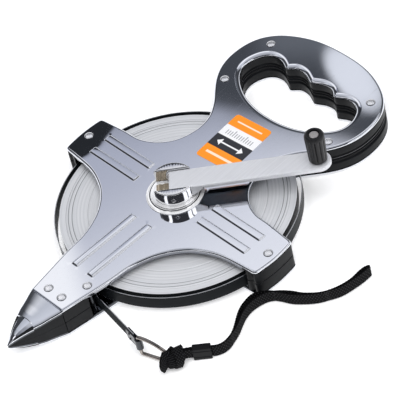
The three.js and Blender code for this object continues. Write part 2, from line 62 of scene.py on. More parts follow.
# ------------------------------------------------------------ dimensions, mm
Z_REAR, Z_FRONT = 1.1, 25.2             # outer faces of the two plates
Z_MID = (Z_REAR + Z_FRONT) / 2
SKIRT_SHORT, SKIRT_LONG = 1.8, 3.4      # plate edge depth over the plastic and elsewhere
BORE = 85.6                             # radius of the open space between the plates
COIL_R, WRAP_R, DRUM_R = 80.7, 84.2, 25.0
TAPE0, TAPE1 = 6.6, 16.6                # rear and front edges of the tape
HUB_TOP, PIN_Z = 39.2, 33.5             # crank head top and hinge pin axis
SLOT_W = 17.5
CRANK_DIR = math.radians(-42.2)
CRANK_LEN, CRANK_W, CRANK_TOP = 98.0, 16.9, 38.0
KNOB_AT = (CRANK_LEN * math.cos(CRANK_DIR), CRANK_LEN * math.sin(CRANK_DIR))
LABEL_AT, LABEL_TURN = (56.6, 0.9), math.radians(4)
LABEL_Z = Z_FRONT + 0.01

# Half of the plate outline, (x, y) from the nose to the grip.
HALF_OUTLINE = [
    (-117.5, 15.5), (-97.5, 18.7), (-80, 21.4), (-66, 22.8), (-60, 24.2), (-54, 26.2),
    (-47, 29.3), (-40, 33.8), (-34, 38.9), (-29, 44.6), (-25.5, 50.6), (-22, 58.5),
    (-19.8, 67), (-17.9, 85), (-17.3, 91.3), (-16.6, 92.7), (-15.0, 93.25), (-10, 93.95),
    (0, 94.6), (10, 94), (14.8, 93.35), (16.5, 92.8), (17.3, 91.3), (17.9, 86), (19.4, 70),
    (20, 58), (22.3, 51), (26, 44.6), (32, 38.4), (38, 34.8), (45, 32.6), (52, 31.6),
    (59, 32.2), (65, 34), (71, 37.5), (77, 42), (84, 48.5), (91, 54.5), (97, 58.5),
    (104, 61.8), (112, 63.8), (120, 64.3), (128, 63.6), (135, 61.7), (141, 58.8),
    (146.5, 54.5), (151, 49.5), (154.8, 43.5), (158, 37), (160.8, 29.5), (162.8, 21.5),
    (164, 12), (164.4, 0)]
# Half of the hand hole, (x, y) from its nose side to its grip side.
HALF_HOLE = [
    (88.6, 0), (89, 9), (90.4, 17.5), (92.8, 25.5), (96.5, 33.3), (101, 40), (105.5, 44.8),
    (110, 47.7), (115, 49), (120, 48.8), (125, 47.2), (129.5, 44.5), (132.5, 40.5),
    (133.7, 35.2), (133, 30.4), (131, 26), (129.7, 23), (131.5, 20.5), (134, 17), (134.6, 13),
    (133.8, 8), (131.7, 3.4), (130.4, 0)]
# Raised ribs of the plates, (x0, x1, y0, y1).
RIBS = [(-85.9, -30.9, 4.6, 10.4), (-85.9, -30.9, -10.4, -4.6),
        (3.85, 10.1, 30.3, 75.9), (-10.1, -3.85, 30.3, 75.9),
        (3.85, 10.1, -75.9, -30.3), (-10.1, -3.85, -75.9, -30.3)]
ROLLER_AT = (-92.4, -12.6)
RIVET_SHANK, ROLLER_SHANK = 1.25, 0.9
# Rivets through both plates: node, place, shank radius.
RIVETS = [
    ("rivet_handle_left_inner", (96, 50), RIVET_SHANK),
    ("rivet_handle_right_inner", (96, -50), RIVET_SHANK),
    ("rivet_handle_left_outer", (140, 48), RIVET_SHANK),
    ("rivet_handle_right_outer", (140, -48), RIVET_SHANK),
    ("rivet_left_arm", (0.5, 87.6), RIVET_SHANK),
    ("rivet_right_arm", (0.5, -87.6), RIVET_SHANK),
    ("rivet_nose_left", (-109.7, 6.4), RIVET_SHANK),
    ("rivet_nose_right", (-109.7, -6.4), RIVET_SHANK),
    ("guide_roller_pin", ROLLER_AT, ROLLER_SHANK)]
ENDS = ((1, "front"), (-1, "rear"))     # which way a mirrored piece faces along z


# ------------------------------------------------------------- 2-D geometry
def relaxed(values, passes):
    """Smooths a run of values or points, holding its two ends."""
    values = values.copy()
    for _ in range(passes):
        values[1:-1] = 0.25 * values[:-2] + 0.5 * values[1:-1] + 0.25 * values[2:]
    return values


def resample(points, step):
    """Evenly spaced points along an open path."""
    lengths = np.linalg.norm(np.diff(points, axis=0), axis=1)
    distance = np.concatenate([[0], np.cumsum(lengths)])
    count = max(2, int(round(distance[-1] / step)) + 1)
    places = np.linspace(0, distance[-1], count)
    return np.stack([np.interp(places, distance, column) for column in points.T], 1)


def spline(points, step, closed=False, relax=1):
    """Centripetal Catmull-Rom curve through the points, resampled evenly."""
    points = np.array(points, float)
    if closed:
        padded = np.vstack([points[-1], points, points[:2]])
    else:
        padded = np.vstack([2 * points[0] - points[1], points, 2 * points[-1] - points[-2]])

    def between(time, start, end, first, last):
        span = end - start
        return (end - time) / span * first + (time - start) / span * last

    pieces = []
    for i in range(len(padded) - 3):
        rows = padded[i:i + 4]
        gaps = np.linalg.norm(np.diff(rows, axis=0), axis=1)
        knots = np.concatenate([[0], np.cumsum(np.maximum(gaps, 1e-6) ** 0.5)])
        time = np.linspace(knots[1], knots[2], 17)[:-1, None]
        for level in (1, 2):
            rows = [between(time, knots[j], knots[j + level], rows[j], rows[j + 1])
                    for j in range(4 - level)]
        pieces.append(between(time, knots[1], knots[2], *rows))
    pieces.append(padded[-2][None])
    curve = relaxed(resample(np.vstack(pieces), step), relax)
    return curve[:-1] if closed else curve


def subdivide(points, step, least=1):
    """Adds points on the lines between neighbours; the last point is left off."""
    points = np.array(points, float)
    out = []
    for start, end in zip(points[:-1], points[1:]):
        count = max(least, int(math.dist(start, end) / step))
        out += [start + (end - start) * j / count for j in range(count)]
    return out


def loop_normals(loop):
    """Outward normals of a counter-clockwise loop, lengthened to mitre its corners."""
    def edge_normals(edge):
        edge = edge / np.maximum(np.linalg.norm(edge, axis=1, keepdims=True), 1e-9)
        return np.stack([edge[:, 1], -edge[:, 0]], 1)

    arriving = edge_normals(loop - np.roll(loop, 1, 0))
    leaving = edge_normals(np.roll(loop, -1, 0) - loop)
    mitre = 1 / np.maximum(0.5, 1 + (arriving * leaving).sum(1, keepdims=True))
    return (arriving + leaving) * mitre


def inset(loop, depth):
    return loop - loop_normals(loop) * depth


def nearest(points, loop):
    """Distance from each point to the loop, and the nearest place on it."""
    edges = np.roll(loop, -1, 0) - loop
    squared = np.maximum((edges ** 2).sum(1), 1e-12)
    distance, place = np.empty(len(points)), np.empty((len(points), 2))
    chunk = 1500
    for i in range(0, len(points), chunk):
        part = points[i:i + chunk]
        along = np.clip(((part[:, None] - loop[None]) * edges[None]).sum(2) / squared, 0, 1)
        feet = loop[None] + along[..., None] * edges[None]
        gaps = ((part[:, None] - feet) ** 2).sum(2)
        best = gaps.argmin(1)
        rows = np.arange(len(part))
        distance[i:i + chunk] = np.sqrt(gaps[rows, best])
        place[i:i + chunk] = feet[rows, best]
    return distance, place


def inside(points, loop):
    """Whether each point is within the loop, by counting crossings."""
    x0, y0 = loop.T
    x1, y1 = np.roll(loop, -1, 0).T
    out = np.zeros(len(points), bool)
    chunk = 2000
    for i in range(0, len(points), chunk):
        x, y = points[i:i + chunk, :1], points[i:i + chunk, 1:]
        spans = (y0 > y) != (y1 > y)
        with np.errstate(divide="ignore", invalid="ignore"):
            crossing = x0 + (y - y0) * (x1 - x0) / (y1 - y0)
        out[i:i + chunk] = (spans & (x < crossing)).sum(1) % 2 == 1
    return out


def fill(loops, extra=()):
    """Triangles over loops[0] less the other loops. The loops' points come first."""
    given = np.vstack([*loops, extra] if len(extra) else loops)
    edges = []
    first = 0
    for loop in loops:
        count = len(loop)
        edges += [(first + i, first + (i + 1) % count) for i in range(count)]
        first += count
    result = delaunay_2d_cdt([Vector(point) for point in given], edges, [], 0, 1e-6, False)
    points = np.array([tuple(point) for point in result[0]])
    if len(points) < len(given):
        raise SystemExit("fill: points merged: %d of %d" % (len(points), len(given)))
    triangles = np.array([face for face in result[2] if len(face) == 3])
    centres = points[triangles].mean(1)
    keep = inside(centres, loops[0])
    for hole in loops[1:]:
        keep &= ~inside(centres, hole)
    triangles = triangles[keep]
    edge1 = points[triangles[:, 1]] - points[triangles[:, 0]]
    edge2 = points[triangles[:, 2]] - points[triangles[:, 0]]
    clockwise = edge1[:, 0] * edge2[:, 1] - edge1[:, 1] * edge2[:, 0] < 0
    triangles[clockwise] = triangles[clockwise][:, ::-1]
    return points, triangles


def corners(x0, x1, y0, y1, radius):
    """Centre x, centre y and start angle of the four rounded corners of a rectangle."""
    return ((x1 - radius, y0 + radius, -90), (x1 - radius, y1 - radius, 0),
            (x0 + radius, y1 - radius, 90), (x0 + radius, y0 + radius, 180))


def rounded_rectangle(half_x, half_y, radius, step, arc):
    """A rectangle about the origin, with arc segments in each rounded corner."""
    points = []
    for cx, cy, start in corners(-half_x, half_x, -half_y, half_y, radius):
        for i in range(arc + 1):
            angle = math.radians(start + 90 * i / arc)
            points.append((cx + radius * math.cos(angle), cy + radius * math.sin(angle)))
    return np.array(subdivide([*points, points[0]], step))


def arc_points(radius, start, end, count, cx=0.0, cy=0.0):
    angles = np.radians(np.linspace(start, end, count))
    return np.stack([cx + radius * np.cos(angles), cy + radius * np.sin(angles)], 1)


def circle(count):
    angles = np.linspace(0, 2 * PI, count, endpoint=False)
    return np.column_stack([np.cos(angles), np.sin(angles)])


def grid_points(xs, ys):
    grid_x, grid_y = np.meshgrid(xs, ys)
    return np.column_stack([grid_x.ravel(), grid_y.ravel()])


def fillet(profile, steps):
    """Rounds the corners of an open profile of (radius, z, corner radius) entries."""
    points = np.array(profile, float)[:, :2]
    out = [points[0]]
    for i in range(1, len(points) - 1):
        corner, radius = points[i], profile[i][2]
        back, ahead = points[i - 1] - corner, points[i + 1] - corner
        back_length, ahead_length = np.linalg.norm(back), np.linalg.norm(ahead)
        back, ahead = back / back_length, ahead / ahead_length
        angle = math.acos(max(-1, min(1, float(back @ ahead))))
        if radius <= 0 or angle > PI - 0.05:
            out.append(corner)
            continue
        cut = min(radius / math.tan(angle / 2), 0.45 * back_length, 0.45 * ahead_length)
        start, end = corner + back * cut, corner + ahead * cut
        for j in range(steps + 1):
            part = j / steps
            out.append((1 - part) ** 2 * start + 2 * part * (1 - part) * corner
                       + part * part * end)
    out.append(points[-1])
    return [tuple(point) for point in out]


def at_height(points, z):
    """Adds a z column, from one height or one per point."""
    return np.column_stack([points, np.broadcast_to(z, len(points))])


def layered(loop, layers):
    """3-D loops from a flat one, for (inset, z) layers."""
    return [at_height(inset(loop, depth), z) for depth, z in layers]


# -------------------------------------------------------------- mesh building
class Shape:
    """Collects vertices and faces in mm, with a material index per face."""

    def __init__(self):
        self.verts, self.faces, self.face_materials, self.lifts = [], [], [], []
        self.count = 0

    def add(self, verts, faces, material=0):
        verts = np.asarray(verts, float).reshape(-1, 3)
        self.verts.append(verts)
        self.faces += [tuple(int(i) + self.count for i in face) for face in faces]
        self.face_materials += [material] * len(faces)
        self.count += len(verts)

    def grid(self, points, close_u=False, close_v=False, material=0):
        """Quads between neighbours of a (U, V, 3) array."""
        points = np.asarray(points, float)
        rows, columns = points.shape[:2]
        faces = []
        for i in range(rows if close_u else rows - 1):
            this, following = i * columns, (i + 1) % rows * columns
            for j in range(columns if close_v else columns - 1):
                j2 = (j + 1) % columns
                faces.append((this + j, following + j, following + j2, this + j2))
        self.add(points, faces, material)

    def tube(self, rings, material=0):
        self.grid(rings, close_v=True, material=material)

    def polygon(self, ring):
        self.add(ring, [tuple(range(len(ring)))])

    def fan(self, ring, material=0):
        count = len(ring)
        self.add(np.vstack([ring, ring.mean(0)]),
                 [(i, (i + 1) % count, count) for i in range(count)], material)

    def level_face(self, loops, z, material=0):
        points, triangles = fill(loops)
        self.add(at_height(points, z), triangles, material)

    def loft(self, rings):
        """Walls between level rings, with filled ends."""
        self.tube(rings)
        for ring in (rings[0], rings[-1]):
            self.level_face([ring[:, :2]], ring[0, 2])

    def lathe(self, profile, count, centre=(0, 0), material=0):
        """Turns a profile of (radius, z) points about a vertical axis."""
        profile = np.array(profile, float)
        around = circle(count)
        x = centre[0] + around[:, :1] * profile[:, 0]
        y = centre[1] + around[:, 1:] * profile[:, 0]
        z = np.broadcast_to(profile[:, 1], x.shape)
        self.grid(np.stack([x, y, z], axis=2), close_u=True, material=material)

    def sweep(self, path, section, up, closed=False, material=0):
        """Carries a section of (side, up) points along path, one section or one per point."""
        path = np.asarray(path, float)
        if closed:
            tangents = np.roll(path, -1, 0) - np.roll(path, 1, 0)
        else:
            tangents = np.gradient(path, axis=0)
        tangents /= np.linalg.norm(tangents, axis=1, keepdims=True)
        up = np.asarray(up, float)
        ups = up - (up * tangents).sum(1, keepdims=True) * tangents
        ups /= np.linalg.norm(ups, axis=1, keepdims=True)
        sides = np.cross(tangents, ups)
        section = np.asarray(section, float)
        section = np.broadcast_to(section, (len(path),) + section.shape[-2:])
        rings = (path[:, None] + sides[:, None] * section[..., :1]
                 + ups[:, None] * section[..., 1:])
        self.grid(rings, close_u=closed, close_v=True, material=material)
        if not closed:
            self.fan(rings[0], material)
            self.fan(rings[-1], material)

    def turn(self, angle, shift=(0, 0)):
        """Turns everything about the z axis, then shifts it level."""
        cos, sin = math.cos(angle), math.sin(angle)
        self.verts = [np.column_stack([cos * x - sin * y + shift[0],
                                       sin * x + cos * y + shift[1], z])
                      for x, y, z in (verts.T for verts in self.verts)]

    def mirror_to_rear(self):
        self.verts = [np.column_stack([verts[:, :2], 2 * Z_MID - verts[:, 2]])
                      for verts in self.verts]
        self.faces = [tuple(reversed(face)) for face in self.faces]

    def write_lifts(self, mesh):
        """Stores how far each webbing vertex stands out, for the painted highlight in the
        material.
        """
        values = np.zeros(len(mesh.vertices), np.float32)
        for first, lift in self.lifts:
            values[first:first + lift.size] = lift.ravel()
        attribute = mesh.attributes.new("lift", "FLOAT", "POINT")
        attribute.data.foreach_set("value", values)

    def make(self, name, materials, body, node, angle=35, finish=None):
        """Makes the object. Webbing isn't merged, so its lifts stay with their vertices."""
        mesh = bpy.data.meshes.new(name)
        mesh.from_pydata((np.vstack(self.verts) * MM).tolist(), [], self.faces)
        for material in materials:
            mesh.materials.append(material)
        mesh.polygons.foreach_set("material_index", self.face_materials)
        bm = bmesh.new()
        bm.from_mesh(mesh)
        if not self.lifts:
            bmesh.ops.remove_doubles(bm, verts=bm.verts, dist=0.002 * MM)
            bmesh.ops.dissolve_degenerate(bm, edges=bm.edges, dist=1e-7)
        bmesh.ops.recalc_face_normals(bm, faces=bm.faces)
        for face in bm.faces:
            face.smooth = True
        bm.to_mesh(mesh)
        bm.free()
        mesh.set_sharp_from_angle(angle=math.radians(angle))
        if self.lifts:
            self.write_lifts(mesh)
        if finish:
            finish(mesh)
        mesh.update()
        ob = bpy.data.objects.new(name, mesh)
        bpy.context.scene.collection.objects.link(ob)
        if not self.lifts and not finish:
            modifier = ob.modifiers.new("flat_faces", "WEIGHTED_NORMAL")
            modifier.keep_sharp = True
            modifier.weight = 60
        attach(ob, body)
        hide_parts(node)
        return ob


def vertices_mm(mesh):
    values = np.empty(len(mesh.vertices) * 3)
    mesh.vertices.foreach_get("co", values)
    return values.reshape(-1, 3) * 1000


def turned(name, material, body, node, profile, steps, count, centre=(0, 0)):
    """A piece turned from one filleted profile."""
    shape = Shape()
    shape.lathe(fillet(profile, steps), count, centre)
    return shape.make(name, material, body, node, angle=40)


# --------------------------------------------------------------- node graphs
def operator(kind, swapped=False):
    def apply(self, other):
        operands = (other, self) if swapped else (self, other)
        return self.graph.math(kind, *operands)
    return apply


class Signal:
    """A shader output; arithmetic on it adds Math nodes to its graph."""

    def __init__(self, graph, socket):
        self.graph = graph
        self.socket = socket

    __add__, __radd__ = operator("ADD"), operator("ADD", True)
    __sub__, __rsub__ = operator("SUBTRACT"), operator("SUBTRACT", True)
    __mul__, __rmul__ = operator("MULTIPLY"), operator("MULTIPLY", True)
    __truediv__, __pow__ = operator("DIVIDE"), operator("POWER")

    def __abs__(self):
        return self.graph.math("ABSOLUTE", self)


class Graph:
    """Writes a node tree. Inputs may be plain values or signals."""

    def __init__(self, tree, space):
        self.tree = tree
        self.space = space
        tree.nodes.clear()

    @cached_property
    def position(self):
        return self.add("TexCoord", output=self.space)

    def feed(self, socket, value):
        if isinstance(value, Signal):
            self.tree.links.new(value.socket, socket)
        elif socket.type == "RGBA":
            socket.default_value = (*value, 1)[:4]
        else:
            socket.default_value = value

    def node(self, kind, inputs=(), **settings):
        node = self.tree.nodes.new("ShaderNode" + kind)
        for key, value in settings.items():
            setattr(node, key, value)
        for key, value in dict(inputs).items():
            self.feed(node.inputs[key], value)
        return node

    def add(self, kind, inputs=(), output=0, **settings):
        return Signal(self, self.node(kind, inputs, **settings).outputs[output])

    def math(self, kind, *operands):
        return self.add("Math", enumerate(operands), operation=kind)

    def mapped(self, source=None, location=(0, 0, 0), rotation=(0, 0, 0), scale=(1, 1, 1)):
        return self.add("Mapping", {"Vector": source or self.position, "Location": location,
                                    "Rotation": rotation, "Scale": scale})

    def noise(self, scale, detail=3.0, rough=0.5, vector=None):
        return self.add("TexNoise", {"Vector": vector or self.position, "Scale": scale,
                                     "Detail": detail, "Roughness": rough}, output="Fac")

    def mix(self, factor, first, second):
        """Colour mix: first at factor 0, second at 1."""
        return self.add("Mix", {0: factor, 6: first, 7: second}, output=2, data_type="RGBA")

    def step(self, value, low, high):
        """Smoothly rises from 0 below low to 1 above high."""
        return self.add("MapRange", {0: value, 1: low, 2: high},
                        interpolation_type="SMOOTHSTEP")

    def band(self, value, low, high, soft):
        """1 between low and high, fading over soft either side of each."""
        rise = self.step(value, low - soft, low + soft)
        return rise * (1.0 - self.step(value, high - soft, high + soft))

    def bump(self, height, strength, distance):
        return self.add("Bump", {"Strength": strength, "Distance": distance,
                                 "Height": height})

    def ramp(self, factor, stops):
        """Colour ramp of (position, colour) stops, the first at 0."""
        node = self.node("ValToRGB", {0: factor})
        elements = node.color_ramp.elements
        elements.remove(elements[-1])
        for i, (position, color) in enumerate(stops):
            element = elements.new(position) if i else elements[0]
            element.position = position
            element.color = (*color, 1)
        return Signal(self, node.outputs[0])

    def dot(self, vector):
        vector = tuple(float(part) for part in vector)
        return self.add("VectorMath", {0: self.position, 1: vector}, output="Value",
                        operation="DOT_PRODUCT")

    def xyz(self, source=None):
        node = self.node("SeparateXYZ", {0: source or self.position})
        return [Signal(self, socket) for socket in node.outputs]


class Surface(Graph):
    """A material with one Principled shader."""

    def __init__(self, name):
        self.material = bpy.data.materials.new(name)
        self.material.use_nodes = True
        super().__init__(self.material.node_tree, "Object")
        output = self.node("OutputMaterial")
        self.shader = self.node("BsdfPrincipled")
        self.tree.links.new(self.shader.outputs[0], output.inputs[0])

    def finish(self, **inputs):
        for key, value in inputs.items():
            self.feed(self.shader.inputs[key.replace("_", " ")], value)
        return self.material


# ----------------------------------------------------------------- materials
def srgb(*channels):
    """Linear colour from 0-255 channels."""
    return tuple(((c / 255 + 0.055) / 1.055) ** 2.4 if c > 10 else c / 255 / 12.92
                 for c in channels)


def scaled(color, factor):
    return tuple(channel * factor for channel in color)


def chrome(name, tint=(0.86, 0.88, 0.93), rough=0.06, metal=1.0):
    """Polished metal with cloudy gloss and fine hairlines."""
    graph = Surface(name)
    cloud = graph.noise(scale=28)
    fine = graph.noise(scale=420, detail=4, rough=0.6)
    hair_space = graph.mapped(rotation=(0, 0, 0.6), scale=(0.08, 1, 1))
    hair = graph.noise(scale=900, detail=2, vector=hair_space)
    roughness = graph.step(cloud, low=0.35, high=0.75) * (rough * 0.5) + rough * 0.75
    roughness = roughness + graph.step(hair, low=0.6, high=0.72) * (rough * 0.4)
    color = graph.mix(graph.step(fine, low=0.3, high=0.8), scaled(tint, 0.985), tint)
    return graph.finish(Base_Color=color, Metallic=metal, Roughness=roughness,
                        Normal=graph.bump(hair, strength=0.02, distance=0.00002))


def plastic(name, color=(0.0075, 0.0082, 0.0095), rough=0.36, grain=0.18, scale=1500,
            specular=0.12):
    """Grained plastic, slightly paler and duller in worn patches."""
    graph = Surface(name)
    texture = graph.noise(scale=scale, rough=0.55)
    wear = graph.noise(scale=55, detail=4, rough=0.6)
    worn = tuple(min(1, channel * 1.5 + 0.001) for channel in color)
    mixed = graph.mix(graph.step(wear, low=0.42, high=0.78), color, worn)
    return graph.finish(Base_Color=mixed, Roughness=wear * 0.16 + (rough - 0.08),
                        Normal=graph.bump(texture, strength=grain, distance=0.00006),
                        Specular_IOR_Level=specular)


def steel(name, tint=(0.66, 0.67, 0.69), rough=0.28, direction=0.0, stretch=0.03,
          strength=0.12, metal=1.0):
    """Brushed metal, with its grain along the given heading."""
    graph = Surface(name)
    grain_space = graph.mapped(rotation=(0, 0, -direction), scale=(stretch, 1, 1))
    grain = graph.noise(scale=1400, detail=4, rough=0.65, vector=grain_space)
    blotch = graph.noise(scale=60)
    color = graph.mix(graph.step(grain, low=0.3, high=0.7), scaled(tint, 0.9), tint)
    dark = graph.step(blotch, low=0.55, high=0.85) * 0.25
    color = graph.mix(dark, color, scaled(tint, 0.8))
    return graph.finish(Base_Color=color, Metallic=metal,
                        Roughness=grain * 0.16 + (rough - 0.06),
                        Normal=graph.bump(grain, strength=strength, distance=0.00004))


# Painted shade: dark lines round the coil, most of them in the gaps where a turn sits lower:
# radius, half width, strength.
COIL_SHADE_LINES = [(0.0720, 0.00022, 0.75), (0.0745, 0.00022, 0.75), (0.0762, 0.00014, 0.4),
              (0.0612, 0.00012, 0.35), (0.0533, 0.0001, 0.3)]


def coil_metal():
    """Edges of the wound tape: noise that varies with radius, and painted shade on a few
    turns.
    """
    graph = Surface("coil_edges")
    x, y, _ = graph.xyz()
    radius = graph.math("SQRT", x * x + y * y)
    radial = graph.add("CombineXYZ", {0: radius * 1000.0})
    turns = graph.noise(scale=0.85, detail=4, rough=0.7, vector=radial)
    fine = graph.noise(scale=3.2, rough=0.7, vector=radial)
    broad = graph.noise(scale=0.16, detail=2, vector=radial)
    patches = graph.noise(scale=14, detail=2)
    lines = turns * 0.6 + fine * 0.4
    color = graph.mix(graph.step(lines, low=0.32, high=0.62),
                      srgb(190, 192, 196), srgb(226, 227, 230))
    color = graph.mix(graph.step(broad, low=0.45, high=0.7) * 0.35, color,
                      srgb(200, 203, 208))
    color = graph.mix(graph.step(patches, low=0.4, high=0.75) * 0.2, color,
                      srgb(180, 183, 188))
    # painted shade: dark lines where turns sit lower
    for place, width, strength in COIL_SHADE_LINES:
        line = 1.0 - graph.step(abs(radius - place), low=width * 0.4, high=width * 1.6)
        color = graph.mix(line * strength, color, srgb(70, 73, 78))
    return graph.finish(Base_Color=color, Metallic=0.2, Roughness=fine * 0.2 + 0.3,
                        Normal=graph.bump(lines, strength=0.35, distance=0.00015))


def blade_paint(name, ticks=False, specular=0.06):
    """Black paint of the tape, optionally with pale ticks on part of the outer turn."""
    graph = Surface(name)
    texture = graph.noise(scale=700, rough=0.6)
    cloud = graph.step(graph.noise(scale=40), low=0.4, high=0.8)
    color = graph.mix(cloud, (0.010, 0.012, 0.014), (0.017, 0.0195, 0.022))
    if ticks:
        x, y, z = graph.xyz()
        # one tick per 10 mm of the turn
        turn = graph.math("ARCTAN2", y, x) * (WRAP_R / 10)
        offset = abs(graph.math("FRACT", turn) - 0.5)
        tick = 1.0 - graph.step(offset, low=0.015, high=0.05)
        rear_half = 1.0 - graph.step(z, low=0.0103, high=0.0106)
        nose_side = 1.0 - graph.step(x, low=-0.062, high=-0.052)
        left_side = graph.step(y, low=0.0, high=0.012)
        shown = (tick * rear_half) * (nose_side * left_side)
        color = graph.mix(shown * 0.6, color, srgb(190, 180, 120))
    return graph.finish(Base_Color=color, Roughness=texture * 0.15 + 0.32,
                        Normal=graph.bump(texture, strength=0.08, distance=0.00005),
                        Specular_IOR_Level=specular)


def webbing():
    """Black woven strap, with a painted highlight where the weave stands out."""
    graph = Surface("black_webbing")
    fibre = graph.noise(scale=2600, detail=4, rough=0.7)
    cloud = graph.noise(scale=180)
    lift = graph.add("Attribute", output="Fac", attribute_name="lift")
    color = graph.mix(graph.step(fibre, low=0.3, high=0.75),
                      (0.0010, 0.0010, 0.0012), (0.0035, 0.0035, 0.004))
    # painted highlight on the raised weave
    color = graph.mix(graph.step(lift, low=0.45, high=0.85) * 0.85, color,
                      (0.042, 0.042, 0.046))
    color = graph.mix(graph.step(cloud, low=0.5, high=0.8) * 0.35, color,
                      (0.004, 0.004, 0.0045))
    return graph.finish(Base_Color=color, Roughness=0.8, Specular_IOR_Level=0.12,
                        Normal=graph.bump(fibre, strength=0.6, distance=0.0001))


def label_vinyl():
    """Colour bands across the label, with ruler ticks, a double arrow and two stripes."""
    graph = Surface("label_vinyl")
    space = graph.mapped(location=(-LABEL_AT[0] * MM, -LABEL_AT[1] * MM, 0))
    space = graph.mapped(space, rotation=(0, 0, -LABEL_TURN))
    x, y, _ = graph.xyz(space)
    orange, white, dark = srgb(250, 146, 22), srgb(240, 240, 242), srgb(37, 38, 45)
    color = graph.mix(graph.step(x, low=-0.00985, high=-0.00965), orange, dark)
    color = graph.mix(graph.step(x, low=0.00115, high=0.00135), color, white)
    color = graph.mix(graph.step(x, low=0.01115, high=0.01135), color, orange)

    def bar(x0, x1, y0, y1):
        return graph.band(x, x0, x1, soft=0.00012) * graph.band(y, y0, y1, soft=0.00012)

    def from_mark(per_metre):
        return abs(graph.math("FRACT", y * per_metre) - 0.5)

    # ruler: a tick every 2 mm, a longer one every 10 mm
    tick = 1.0 - graph.step(from_mark(500.0), low=0.16, high=0.24)
    long_tick = 1.0 - graph.step(from_mark(100.0), low=0.09, high=0.11)
    short_band = bar(0.0035, 0.0075, -0.0125, 0.0125)
    long_band = bar(0.0035, 0.0092, -0.0125, 0.0125)
    ticks = tick * graph.math("MAXIMUM", short_band, long_tick * long_band)
    color = graph.mix(ticks * 0.7, color, srgb(110, 112, 120))
    # double arrow on the dark band
    away = abs(y)
    shaft = bar(-0.0048, -0.0036, -0.0085, 0.0085)
    head_width = (0.0115 - away) * 0.85
    head = (graph.math("LESS_THAN", abs(x + 0.0042), head_width)
            * graph.math("GREATER_THAN", away, 0.0078))
    color = graph.mix(graph.math("MAXIMUM", shaft, head), color, white)
    # pale stripes on the orange bands
    for stripe in ((-0.0165, -0.0145, -0.0115, 0.0115), (0.0160, 0.0172, -0.0110, 0.0110)):
        color = graph.mix(bar(*stripe) * 0.85, color, srgb(255, 238, 220))
    texture = graph.noise(scale=900, rough=0.6)
    return graph.finish(Base_Color=color, Roughness=texture * 0.1 + 0.3,
                        Normal=graph.bump(texture, strength=0.05, distance=0.00003),
                        Coat_Weight=0.3, Coat_Roughness=0.15)


CHROME = chrome("plate_chrome", rough=0.03)
# Painted shade: a darker copy of the plate chrome for the walls of the front sheet, so its
# edge reads grey.
SHADED_WALLS = chrome("sheet_edge_painted_shade", tint=(0.34, 0.35, 0.38), rough=0.10)
# Painted shade: a near-black copy of the chrome for the rear plate's walls and the tip caps'
# walls.
SHADED_RIMS = chrome("rim_shadowed", tint=(0.10, 0.105, 0.115), rough=0.22)
CHROME_HARDWARE = chrome("hardware_chrome", tint=(0.87, 0.87, 0.88), rough=0.05)
RIVET = chrome("rivet_chrome", tint=(0.93, 0.935, 0.96), rough=0.17, metal=0.8)
SHADOW_LINE = chrome("shadow_line", tint=(0.20, 0.205, 0.22), rough=0.25)
# Painted light: a paler, less metallic copy of the chrome for the upward faces of the bush and
# the crank head.
PAINTED_LIGHT_TOPS = chrome("painted_light_top_faces", tint=(0.97, 0.97, 0.98), rough=0.10, metal=0.36)
# Painted highlight: paler, glossier plastic for thin bands along edges of the front blocks.
GLINT = plastic("painted_highlight_edge", color=(0.085, 0.088, 0.095), rough=0.3, specular=0.4)
BLACK = plastic("black_plastic")
DRUM = plastic("drum_plastic_grey", color=(0.02, 0.02, 0.022), rough=0.45, scale=900)
KNOB = plastic("knob_black", color=(0.0085, 0.0085, 0.0095), rough=0.34, grain=0.25,
               scale=2200, specular=0.3)
CRIMP = plastic("crimp_black", color=(0.004, 0.004, 0.005), rough=0.32, grain=0.2,
                specular=0.15)
STEEL = steel("turned_steel")
DARK_STEEL = steel("dark_steel", tint=(0.075, 0.078, 0.085), rough=0.22)
CRANK = steel("crank_satin", tint=(0.76, 0.77, 0.805), rough=0.30, direction=CRANK_DIR,
              stretch=0.02, strength=0.14, metal=0.35)
# Painted shade: a dark copy of the crank metal for the inside of the tray.
CRANK_SHADED_INSIDE = steel("crank_inside_painted_shade", tint=(0.11, 0.125, 0.14), rough=0.35,
                     direction=CRANK_DIR, stretch=0.05)
PIN_HEAD = steel("pin_satin", tint=(0.80, 0.76, 0.73), rough=0.38, strength=0.1, stretch=0.6)
BRASS = steel("spring_brass_tone", tint=(0.58, 0.49, 0.37), rough=0.16,
              direction=CRANK_DIR + PI / 2, metal=0.62)
WIRE = steel("warm_wire", tint=(0.40, 0.365, 0.34), rough=0.18, stretch=0.5)
BLADE_EDGE = steel("blade_edge_steel", tint=(0.74, 0.75, 0.77), rough=0.3, stretch=0.4)
COIL = coil_metal()
PAINT = blade_paint("blade_black")
PAINT_TICKS = blade_paint("blade_black_ticks", ticks=True)
PAINT_DULL = blade_paint("blade_black_dull", specular=0.008)
WEBBING = webbing()
LABEL = label_vinyl()

# ------------------------------------------------------------------ outlines
CURVE = spline([(x, -y) for x, y in HALF_OUTLINE] + HALF_OUTLINE[-2::-1], 1.25)
OUTLINE = np.vstack([CURVE, grid_points([-117.5], np.linspace(15.5, -15.5, 25)[1:-1])])
HOLE = spline(HALF_HOLE[::-1] + [(x, -y) for x, y in HALF_HOLE[1:-1]], 1.1, closed=True)

# ---------------------------------------------------------------- the plates
# Rolled edges of the sheet: loop, inward side, width and height of the roll.
ROLLS = ((OUTLINE, 1, 1.7, 1.45), (HOLE, -1, 3.6, 1.55))
SHEET_DEPTH = 1.75                      # inner side of the sheet below the face
HOLE_DEPTH = 1.9                        # the same, at the hand hole
